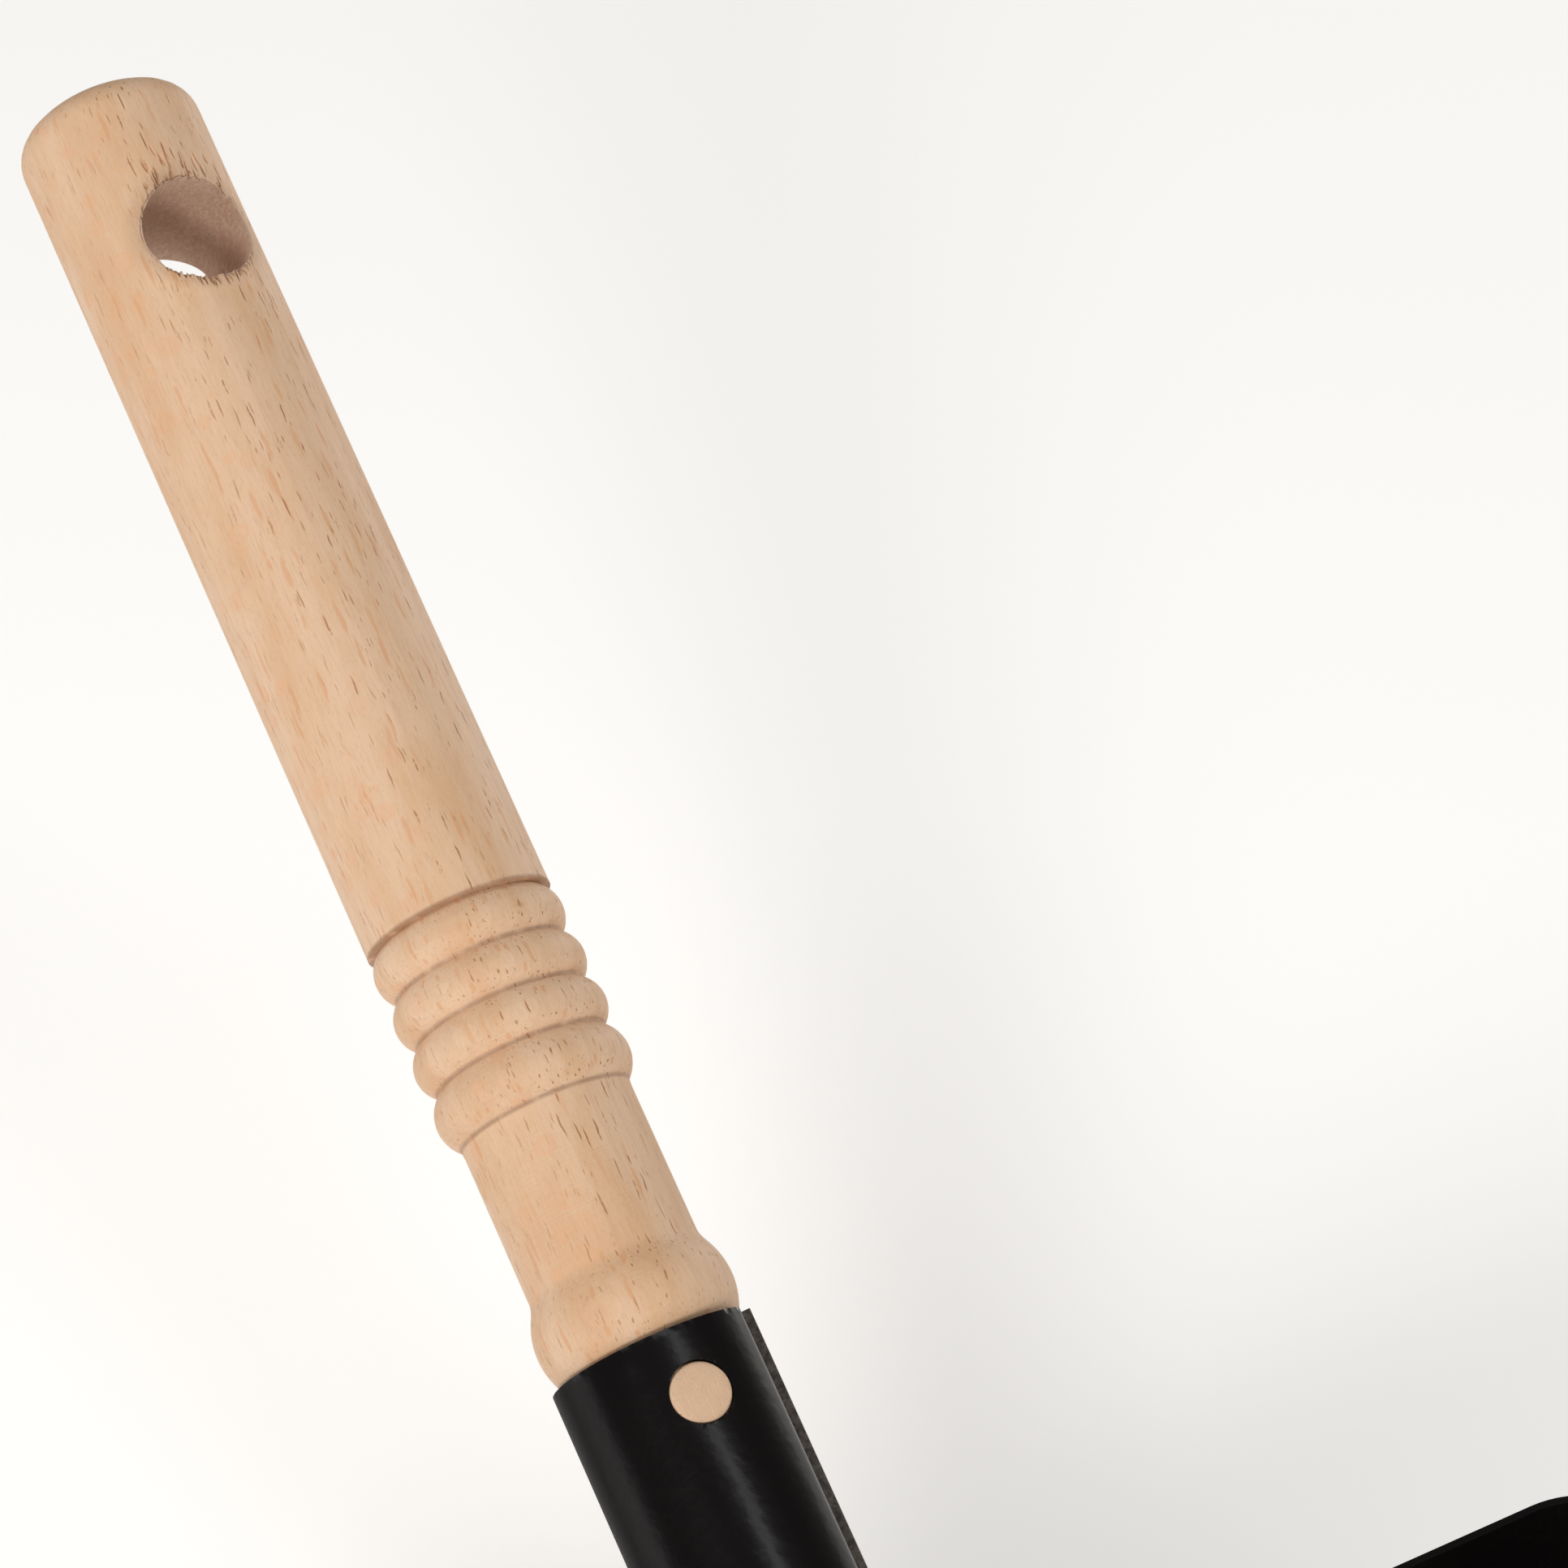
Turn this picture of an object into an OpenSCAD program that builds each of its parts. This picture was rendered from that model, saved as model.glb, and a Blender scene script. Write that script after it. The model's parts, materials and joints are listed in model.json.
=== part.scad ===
// Hand scoop shovel for grain: a riveted sheet-steel pan, a rolled steel socket
// on its back wall, and a turned beech handle pegged into the socket.
// Millimetres, +Z up. The pan opens towards -Y, the handle rises towards +Y,
// and the origin is under the middle of the whole shovel, on the ground.

/* [Pan] */
// Depth of the pan, from the lip to the back of the wall
pan_depth = 235; // [200:1:280]
// Distance of each rear corner's centre from the middle
corner_x = 95.5; // [75:0.5:110]
// Outer radius of the wall's rear corners
corner_r = 16; // [12:1:24]
// Angle by which each side opens towards the mouth
flare = 4; // [0:0.5:8]
// Height of the back wall
wall_h = 72; // [66:1:90]
// Thickness of the pan's sheet
sheet_t = 1; // [0.8:0.1:1.4]
// Height of the floor's turned-up edge
flange_h = 13; // [10:1:16]
// Radius at the top of the turned-up edge's front ends
flange_r = 8; // [3:1:9]
// Radius of the lip's front corners
lip_r = 12; // [6:1:16]

/* [Pan sides] */
// Distance from the back of the wall to the start of the slope
shoulder_y = 30; // [22:1:50]
// Radius over the start of the slope
shoulder_r = 34; // [10:1:50]
// Distance from the lip to the centre of the side's round nose
nose_y = 28; // [22:1:40]
// Radius of the side's round nose
nose_r = 17; // [10:1:20]

/* [Floor ribs] */
// Number of pressed ribs
rib_count = 5; // [3:2:5]
// Spacing of the ribs
rib_pitch = 38; // [30:1:40]
// Radius of the pressing that makes a rib
rib_r = 6; // [5:0.5:8]
// Height of a rib above the floor
rib_h = 2; // [1:0.5:3]
// Distance from the lip to the front end of the ribs
rib_front = 42; // [30:1:60]
// Distance from the back of the wall to the rear end of the ribs
rib_rear = 44; // [30:1:60]

/* [Socket] */
// Outer radius of the rolled socket
socket_r = 14.35; // [14:0.05:15]
// Thickness of the socket's sheet
socket_t = 1.2; // [1:0.1:1.4]
// Angle from the top of the socket to the outer edge of its lap
lap_at = 68; // [50:1:80]
// Angle by which the inner edge runs on under the outer one
lap_over = 24; // [10:1:30]
// Radius of the tighter curve that leads the inner edge under the outer one
lap_r = 12.6; // [12.4:0.05:12.8]
// Slope of the handle above the ground
handle_tilt = 27.5; // [20:0.5:35]
// Distance of the socket's rim behind the wall, measured level
rim_reach = 68; // [60:1:80]
// Height of the rim's centre above the top of the wall
rim_rise = 12; // [6:1:20]
// Radius of the peg's hole in the socket
peg_hole_r = 4.3; // [3:0.05:5]
// Distance of the peg from the rim
peg_at = 9.3; // [8:0.1:20]

/* [Socket plate] */
// Width of the plate that carries the socket
plate_w = 78; // [74:1:90]
// Height of the plate
plate_h = 46; // [42:1:48]
// Thickness of the plate
plate_t = 2; // [1.5:0.5:3]
// Corner radius of the plate
plate_r = 9; // [4:1:12]
// Height of the plate's centre
plate_z = 46; // [44:1:48]
// Width of the weld around the socket's foot
weld_w = 2.8; // [2:0.1:4]

/* [Handle] */
// Radius of the grip
grip_r = 13.5; // [12:0.1:14]
// Distance from the rim to the tip of the handle
handle_end = 199; // [190:1:215]
// Radius of the domed end
dome_r = 22; // [18:1:30]
// Radius round the edge of the domed end
end_edge_r = 5; // [3:0.5:7]
// Radius of the neck between the beads and the collar
neck_r = 12.25; // [11:0.05:12.5]
// Largest radius of the collar above the rim
collar_r = 14.15; // [13.5:0.05:14.5]
// Radius of the collar's curve
collar_curve = 11; // [9:0.5:14]
// Distance from the rim to the collar's largest radius
collar_at = 5.6; // [5:0.1:6]
// Radius of the tenon inside the socket
tenon_r = 12.95; // [12:0.05:13]
// Length of the tenon
tenon_len = 60; // [40:1:60]

/* [Hang hole] */
// Radius of the hang hole
hang_r = 8; // [5:0.5:8]
// Distance from the rim to the hang hole
hang_at = 170.5; // [160:0.5:175]
// Angle by which the hole is turned to the right of the top
hang_turn = 7; // [0:0.5:10]
// Angle by which the drill leaned towards the tip
hang_lean = 3.7; // [0:0.1:5]
// Distance by which the drill ran beside the middle
hang_off = 1.6; // [0:0.1:2]

/* [Rivets] */
// Radius of a pan rivet's shank
pan_rivet_r = 1.6; // [1.5:0.1:2]
// Radius of a plate rivet's shank
plate_rivet_r = 2; // [1.5:0.1:2.5]
// Height of the pan rivets above the ground
pan_rivet_z = 7; // [6:0.5:8]

/* [Hidden] */
$fn = 96;
eps = 0.01;
steel = "#1b1a1b";
beech = "#d9b48c";

// Turned beads, counted from the grip: the grooves beside them, from the rim
bead_edges = [65, 57.8, 50.8, 43.7, 35.4];
bead_tops = [13.85, 13.95, 14.05, 14.15];
groove_r = 12.35;

// Handle end: centre of its edge curve, and the angle where the dome takes over
edge_r_at = grip_r - end_edge_r;
dome_at = handle_end - dome_r;
edge_at = dome_at + sqrt(pow(dome_r - end_edge_r, 2) - pow(edge_r_at, 2));
dome_angle = atan2(edge_r_at, edge_at - dome_at);

// How far the tip of the handle reaches behind the rim, measured level
tip_reach = handle_tilt <= dome_angle
    ? dome_at * cos(handle_tilt) + dome_r
    : edge_at * cos(handle_tilt) + edge_r_at * sin(handle_tilt) + end_edge_r;

// Lengthways places, with the origin in the middle of the whole length
total_len = pan_depth + rim_reach + tip_reach;
lip_y = -total_len / 2;
wall_y = lip_y + pan_depth;
rim_y = wall_y + rim_reach;
rim_z = wall_h + rim_rise;
plate_y = wall_y + plate_t;
corner_y = wall_y - corner_r;

// Places of the rivets
pan_rivets_back = [-84, -32, 32, 84];
pan_rivets_side = [40, 105, 170];
plate_rivet_x = plate_w / 2 - 9;
plate_rivet_z = plate_h / 2 - 9;
lr = ["left", "right"];
SIDE_RIVETS = [for (s = lr, i = [1:3]) str("side_rivet_", s, "_", i)];
BACK_RIVETS = [for (i = [1:4]) str("back_rivet_", i)];
PLATE_RIVETS = [for (v = ["lower", "upper"], s = lr) str("plate_rivet_", v, "_", s)];

// Half width of the pan's outline at y, the outline being inset by i
function half_width(i, y) =
    corner_x + (corner_r - i - (y - corner_y) * sin(flare)) / cos(flare);

// Point where a curve of radius r about [x, y] meets the straight side
function side_point(x, y, r) = [x + r * cos(flare), y + r * sin(flare)];

// Places its children on the handle's axis: +Z towards the tip, -Y the top,
// zero at the rim
module on_handle() {
    translate([0, rim_y, rim_z]) rotate([handle_tilt - 90, 0, 0]) children();
}

// Lays its children across the handle, their +Z to the top, turned to the right
module across_handle(at, turn = 0) {
    translate([0, 0, at]) rotate([0, 0, turn]) rotate([90, 0, 0]) children();
}

// Everything in front of the plane y, large enough to cut a handle piece
module in_front_of(y) {
    translate([-200, y - 400, -200]) cube([400, 400, 600]);
}

// The pan's outline seen from above, inset by i, cut straight across at y
module pan_outline(i, y) {
    r = corner_r - i;
    right = side_point(corner_x, corner_y, r);
    polygon([
        [-half_width(i, y), y], [half_width(i, y), y], right,
        [corner_x, corner_y + r], [-corner_x, corner_y + r], [-right[0], right[1]]
    ]);
    for (s = [-1, 1]) translate([s * corner_x, corner_y]) circle(r);
}

// The same outline with the lip's rounded corners at its front
module floor_outline(i) {
    y = lip_y + lip_r;
    x = half_width(i + lip_r, y);
    right = side_point(x, y, lip_r);
    pan_outline(i, right[1]);
    polygon([[-x, lip_y], [x, lip_y], right, [-right[0], right[1]]]);
    for (s = [-1, 1]) translate([s * x, y]) circle(lip_r);
}

// Side view of the wall: level over the corners, sloping to a round nose
module side_view() {
    back = [wall_y - shoulder_y, wall_h - shoulder_r];
    front = [lip_y + nose_y, flange_h - 8];
    run = back - front;
    slope = atan2(run[1], run[0]) + asin((shoulder_r - nose_r) / norm(run));
    up = [-sin(slope), cos(slope)];
    polygon([
        [wall_y, 0], [wall_y, wall_h], [back[0], wall_h], back + shoulder_r * up,
        front + nose_r * up, [front[0] - nose_r, front[1]], [front[0] - nose_r, 0]
    ]);
    translate(back) circle(shoulder_r);
    translate(front) circle(nose_r);
}

// Side view of the floor's turned-up edge, rounded down at its front
module flange_view() {
    y = lip_y + nose_y + flange_r;
    length = wall_y + sheet_t - y;
    translate([y, 0]) square([length, flange_h]);
    translate([y - flange_r, 0]) square([flange_r + eps, flange_h - flange_r]);
    translate([y, flange_h - flange_r]) circle(flange_r);
}

// Extrudes a side view, drawn in Y and Z, across the whole width
module across_pan() {
    translate([-150, 0, 0]) rotate([90, 0, 90]) linear_extrude(300) children();
}

// Snap-head rivet: +Z out of the sheets, zero on the outer one's face
module rivet(r, grip) {
    head_r = 2.1 * r;
    head_h = 1.3 * r;
    ball = (head_r * head_r + head_h * head_h) / (2 * head_h);
    tail_h = 0.6 * r;
    intersection() {
        translate([0, 0, head_h - ball]) sphere(ball);
        cylinder(r = head_r + 1, h = head_h + 1);
    }
    translate([0, 0, -grip]) cylinder(r = r, h = grip + eps);
    translate([0, 0, -grip - tail_h]) cylinder(r = 1.7 * r, h = tail_h);
}

// Places on the side walls: s is -1 or 1, back is measured from the wall
module at_side(s, back) {
    y = wall_y - back;
    translate([s * half_width(-sheet_t, y), y, pan_rivet_z])
        rotate([0, 0, s > 0 ? flare : 180 - flare]) rotate([0, 90, 0]) children();
}

// Places on the back wall, on the plane y
module at_back(x, y, z) {
    translate([x, y, z]) rotate([-90, 0, 0]) children();
}

module side_rivet(s, i) {
    color(steel) at_side(s, pan_rivets_side[i]) rivet(pan_rivet_r, 2 * sheet_t);
}

module back_rivet(i) {
    color(steel) at_back(pan_rivets_back[i], wall_y + sheet_t, pan_rivet_z)
        rivet(pan_rivet_r, 2 * sheet_t);
}

module plate_rivet(sx, sz) {
    color(steel) at_back(sx * plate_rivet_x, plate_y, plate_z + sz * plate_rivet_z)
        rivet(plate_rivet_r, plate_t + sheet_t);
}

// Holes for every pan rivet, through the flange and the wall
module pan_rivet_holes() {
    hole_len = 4 * sheet_t;
    for (s = [-1, 1], back = pan_rivets_side)
        at_side(s, back) cylinder(r = pan_rivet_r, h = 2 * hole_len, center = true);
    for (x = pan_rivets_back)
        at_back(x, wall_y, pan_rivet_z) cylinder(r = pan_rivet_r, h = 2 * hole_len, center = true);
}

// Holes for the four plate rivets
module plate_rivet_holes() {
    for (sx = [-1, 1], sz = [-1, 1])
        at_back(sx * plate_rivet_x, wall_y, plate_z + sz * plate_rivet_z)
            cylinder(r = plate_rivet_r, h = 4 * plate_t, center = true);
}

// One strip bent round both rear corners: back wall and two sloping sides
module wall_band() {
    color(steel) difference() {
        intersection() {
            translate([0, 0, sheet_t]) linear_extrude(wall_h) difference() {
                pan_outline(0, lip_y);
                pan_outline(sheet_t, lip_y - 1);
            }
            across_pan() side_view();
        }
        pan_rivet_holes();
        plate_rivet_holes();
    }
}

// A rib's pressing, r being the radius of the face wanted
module rib(x, r) {
    z = sheet_t + rib_h - rib_r;
    front = lip_y + rib_front;
    back = wall_y - rib_rear;
    translate([x, front, z]) rotate([-90, 0, 0]) cylinder(r = r, h = back - front);
    for (y = [front, back]) translate([x, y, z]) sphere(r);
}

// All ribs together
module ribs(r) {
    middle = (rib_count - 1) / 2;
    for (i = [-middle:middle]) rib(i * rib_pitch, r);
}

// Flat floor with pressed ribs, its edge turned up outside the wall
module floor_tray() {
    color(steel) difference() {
        union() {
            linear_extrude(sheet_t) floor_outline(-sheet_t);
            intersection() {
                linear_extrude(flange_h) difference() {
                    pan_outline(-sheet_t, lip_y);
                    pan_outline(0, lip_y - 1);
                }
                across_pan() flange_view();
            }
            intersection() {
                ribs(rib_r);
                translate([-150, lip_y, sheet_t / 2]) cube([300, pan_depth, wall_h]);
            }
        }
        ribs(rib_r - sheet_t);
        pan_rivet_holes();
    }
}

// Plate riveted behind the wall, to which the socket is welded
module socket_plate() {
    x = plate_w / 2 - plate_r;
    z = plate_h / 2 - plate_r;
    color(steel) difference() {
        translate([0, plate_y, plate_z]) rotate([90, 0, 0]) linear_extrude(plate_t) {
            square([plate_w, 2 * z], center = true);
            square([2 * x, plate_h], center = true);
            for (sx = [-1, 1], sz = [-1, 1]) translate([sx * x, sz * z]) circle(plate_r);
        }
        plate_rivet_holes();
    }
}

// Straight-sided sector about the origin, from one angle to another
module wedge(reach, from, to) {
    polygon(concat([[0, 0]], [
        for (a = [from, (from + to) / 2, to]) reach * [cos(a), sin(a)]
    ]));
}

// Slice of a round, from one angle to another
module slice(r, from, to) {
    intersection() {
        circle(r);
        wedge(2 * r, from, to);
    }
}

// Sector of the socket, its angles counted from the top to the right
module lap_sector(from, to) {
    wedge(3 * socket_r, from - 90, to - 90);
}

// Circle of the tighter curve, which leaves the round of the socket at its top
module lap_circle(r) {
    translate([0, lap_r - socket_r]) circle(r);
}

// The rolled sheet end on: one turn whose inner edge tucks under the outer one
module socket_section() {
    difference() {
        circle(socket_r);
        circle(socket_r - socket_t);
        lap_sector(0, lap_at);
    }
    intersection() {
        difference() {
            lap_circle(lap_r);
            lap_circle(lap_r - socket_t);
        }
        lap_sector(0, lap_at + lap_over);
    }
}

// Rolled socket, its foot cut off level with the plate
module socket() {
    foot = 2 * rim_reach;
    color(steel) difference() {
        on_handle() difference() {
            translate([0, 0, -foot]) linear_extrude(foot) socket_section();
            across_handle(-peg_at) cylinder(r = peg_hole_r, h = 60, center = true);
        }
        in_front_of(plate_y);
    }
}

// Fillet weld round the socket's foot
module socket_weld() {
    foot = 2 * rim_reach;
    color(steel) difference() {
        intersection() {
            on_handle() translate([0, 0, -foot]) cylinder(r = socket_r + weld_w, h = foot);
            translate([-40, plate_y, 0]) cube([80, weld_w, wall_h + 20]);
        }
        on_handle() translate([0, 0, -foot]) cylinder(r = socket_r, h = foot);
    }
}

// Beech peg through the socket and the tenon
module cross_peg() {
    peg_len = 2 * socket_r - 0.7;
    color(beech) on_handle() across_handle(-peg_at)
        cylinder(r = peg_hole_r - 0.15, h = peg_len, center = true);
}

// One turned bead between the grooves at low and high
module bead_profile(low, high, top) {
    root = groove_r - 0.3;
    rise = top - root;
    half = (high - low) / 2;
    r = (half * half + rise * rise) / (2 * rise);
    translate([top - r, low + half]) circle(r);
}

// Grip with its domed end and rounded edge, down to the last bead
module grip_profile() {
    start = bead_edges[0];
    translate([0, start]) square([grip_r, edge_at - start]);
    translate([edge_r_at, edge_at]) slice(end_edge_r, 0, 90 - dome_angle);
    translate([0, dome_at]) slice(dome_r, 90 - dome_angle, 90);
}

// Collar that swells above the rim
module collar_profile() {
    intersection() {
        translate([collar_r - collar_curve, collar_at]) circle(collar_curve);
        translate([0, -collar_curve]) square(4 * collar_curve);
    }
}

// Half section of the whole turned handle: X is the radius, Y runs to the tip
module handle_profile() {
    chamfer = 2;
    beads_end = bead_edges[len(bead_tops)];
    grip_profile();
    translate([0, beads_end]) square([groove_r, bead_edges[0] - beads_end]);
    for (i = [0:len(bead_tops) - 1])
        bead_profile(bead_edges[i + 1], bead_edges[i], bead_tops[i]);
    square([neck_r, beads_end]);
    collar_profile();
    polygon([
        [0, -tenon_len], [tenon_r - chamfer, -tenon_len],
        [tenon_r, chamfer - tenon_len], [tenon_r, 0], [0, 0]
    ]);
}

// Room that the tenon leaves for the tucked-in edge of the socket's sheet
module tenon_relief() {
    clearance = socket_r - socket_t - tenon_r;
    translate([0, 0, -tenon_len - 1]) linear_extrude(tenon_len + 1) difference() {
        lap_sector(20, lap_at + lap_over + 2);
        lap_circle(lap_r - socket_t - clearance);
    }
}

// Turned beech handle: tenon, collar, neck, four beads, grip and domed end
module handle() {
    color(beech) on_handle() difference() {
        rotate_extrude() handle_profile();
        tenon_relief();
        across_handle(-peg_at) cylinder(r = peg_hole_r - 0.15, h = 60, center = true);
        across_handle(hang_at, hang_turn) translate([hang_off, 0, 0])
            rotate([hang_lean, 0, 0]) cylinder(r = hang_r, h = 60, center = true);
    }
}

handle();
cross_peg();
socket();
socket_weld();
socket_plate();
wall_band();
floor_tray();
for (k = [0:5])
    side_rivet(k < 3 ? -1 : 1, k % 3);
for (k = [0:3])
    back_rivet(k);
for (k = [0:3])
    plate_rivet(k % 2 * 2 - 1, k < 2 ? -1 : 1);
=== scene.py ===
"""Looks of the grain scoop shovel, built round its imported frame.

The shovel has a riveted black pan, a rolled black socket and a turned beech
handle that is pegged into the socket. Lengths in the classes are millimetres;
the meshes are placed in the frame's metres.
"""

from __future__ import annotations

import json
import logging
import math
import random
from dataclasses import dataclass, field
from enum import Enum
from typing import Iterable, Sequence

import bmesh
import bpy
from bmesh.types import BMesh, BMVert
from bpy.types import Material, Node, NodeSocket, Object
from mathutils import Euler, Matrix, Vector, noise

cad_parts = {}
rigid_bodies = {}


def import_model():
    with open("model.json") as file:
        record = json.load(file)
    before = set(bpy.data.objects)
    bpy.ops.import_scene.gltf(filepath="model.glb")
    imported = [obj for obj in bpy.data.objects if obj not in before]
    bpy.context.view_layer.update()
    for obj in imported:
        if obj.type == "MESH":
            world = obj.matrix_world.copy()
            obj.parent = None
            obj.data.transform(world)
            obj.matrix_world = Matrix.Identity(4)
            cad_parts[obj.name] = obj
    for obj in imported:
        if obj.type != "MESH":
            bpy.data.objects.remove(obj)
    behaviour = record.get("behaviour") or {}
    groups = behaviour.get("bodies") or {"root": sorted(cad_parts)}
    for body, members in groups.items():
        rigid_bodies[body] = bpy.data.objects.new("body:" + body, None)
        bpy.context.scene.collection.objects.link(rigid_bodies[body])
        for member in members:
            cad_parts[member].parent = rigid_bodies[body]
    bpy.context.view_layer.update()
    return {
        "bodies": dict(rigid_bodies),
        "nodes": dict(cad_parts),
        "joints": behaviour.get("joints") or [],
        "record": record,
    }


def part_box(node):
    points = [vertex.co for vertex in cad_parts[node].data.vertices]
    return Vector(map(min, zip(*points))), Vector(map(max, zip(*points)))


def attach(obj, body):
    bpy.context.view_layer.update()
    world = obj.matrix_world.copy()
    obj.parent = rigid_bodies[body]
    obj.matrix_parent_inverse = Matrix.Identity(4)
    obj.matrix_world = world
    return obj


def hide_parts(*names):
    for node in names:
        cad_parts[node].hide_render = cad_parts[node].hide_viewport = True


LOG = logging.getLogger("grain_scoop")
MM = 0.001
DRILL_LENGTH = 60.0
FLAT = 1e-4
BODY = "root"
Colour = tuple[float, float, float, float]


# ---------------------------------------------------------------------------
# Bench helpers
# ---------------------------------------------------------------------------


def draw_line(mesh: BMesh, spots: Iterable[Sequence[float]]) -> list:
    """Draw a line through some places.

    Args:
        mesh: The bmesh that gets it.
        spots: The places, in order.

    Returns:
        The line's verts, and then its edges.
    """
    verts = [mesh.verts.new(spot) for spot in spots]
    return verts + [mesh.edges.new(pair) for pair in zip(verts, verts[1:])]


def spin_about_z(mesh: BMesh, line: list, angle: float, steps: int, closed: bool = False) -> list:
    """Spin a line about the Z axis.

    Args:
        mesh: The bmesh that holds it.
        line: Its verts and edges.
        angle: How far it is spun, in radians.
        steps: Number of steps.
        closed: Whether the last step joins the first.

    Returns:
        The line at the end of the spin.
    """
    return bmesh.ops.spin(
        mesh, geom=line, cent=(0, 0, 0), axis=(0, 0, 1), angle=angle, steps=steps, use_merge=closed
    )["geom_last"]


def lathe(spots: Iterable[Vector], steps: int) -> BMesh:
    """Turn a solid about the Z axis.

    Args:
        spots: Its outline, which starts and ends on the axis.
        steps: Number of faces round it.

    Returns:
        The closed bmesh.
    """
    mesh = bmesh.new()
    spin_about_z(mesh, draw_line(mesh, spots), math.tau, steps, closed=True)
    bmesh.ops.remove_doubles(mesh, verts=mesh.verts, dist=0.001)
    return mesh


def drill(radius: float, segments: int, place: Matrix = Matrix.Identity(4)) -> BMesh:
    """Make a drill's cylinder.

    Args:
        radius: Its radius, in millimetres.
        segments: Number of faces round it.
        place: Where it stands, its Z along the drill.

    Returns:
        The bmesh.
    """
    mesh = bmesh.new()
    bmesh.ops.create_cone(
        mesh, cap_ends=True, segments=segments, radius1=radius, radius2=radius, depth=DRILL_LENGTH
    )
    bmesh.ops.transform(mesh, matrix=place, verts=mesh.verts)
    return mesh


def across_handle(below: float) -> Matrix:
    """Find the frame of a hole from the handle's top to its underside.

    Args:
        below: How far below the rim the hole is, in millimetres.

    Returns:
        The matrix from the hole's frame to the handle's.
    """
    return Matrix.Translation((0.0, 0.0, -below)) @ Matrix.Rotation(math.radians(90.0), 4, "Y")


def trim_front(mesh: BMesh, y: float) -> None:
    """Cut away all that is in front of a lengthways place.

    Args:
        mesh: The bmesh, in the frame's metres.
        y: The place.
    """
    whole = list(mesh.verts) + list(mesh.edges) + list(mesh.faces)
    bmesh.ops.bisect_plane(
        mesh, geom=whole, plane_co=(0.0, y, 0.0), plane_no=(0.0, -1.0, 0.0), clear_outer=True
    )


class Slot(Enum):
    """The record's material slots."""

    HANDLE = "turned_beech"
    PEG = "peg_beech"
    SOCKET = "black_socket_paint"
    WELD = "black_weld_paint"
    PAN = "black_pan_paint"
    RIVET = "black_rivet_paint"


def smooth_step(low: float, high: float, value: float) -> float:
    """Rise smoothly from 0 at low to 1 at high.

    Args:
        low: Where the rise starts.
        high: Where it ends.
        value: The place asked for.

    Returns:
        A number from 0 to 1.
    """
    share = min(max((value - low) / (high - low), 0.0), 1.0)
    return share * share * (3.0 - 2.0 * share)


# ---------------------------------------------------------------------------
# Node materials
# ---------------------------------------------------------------------------


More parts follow.
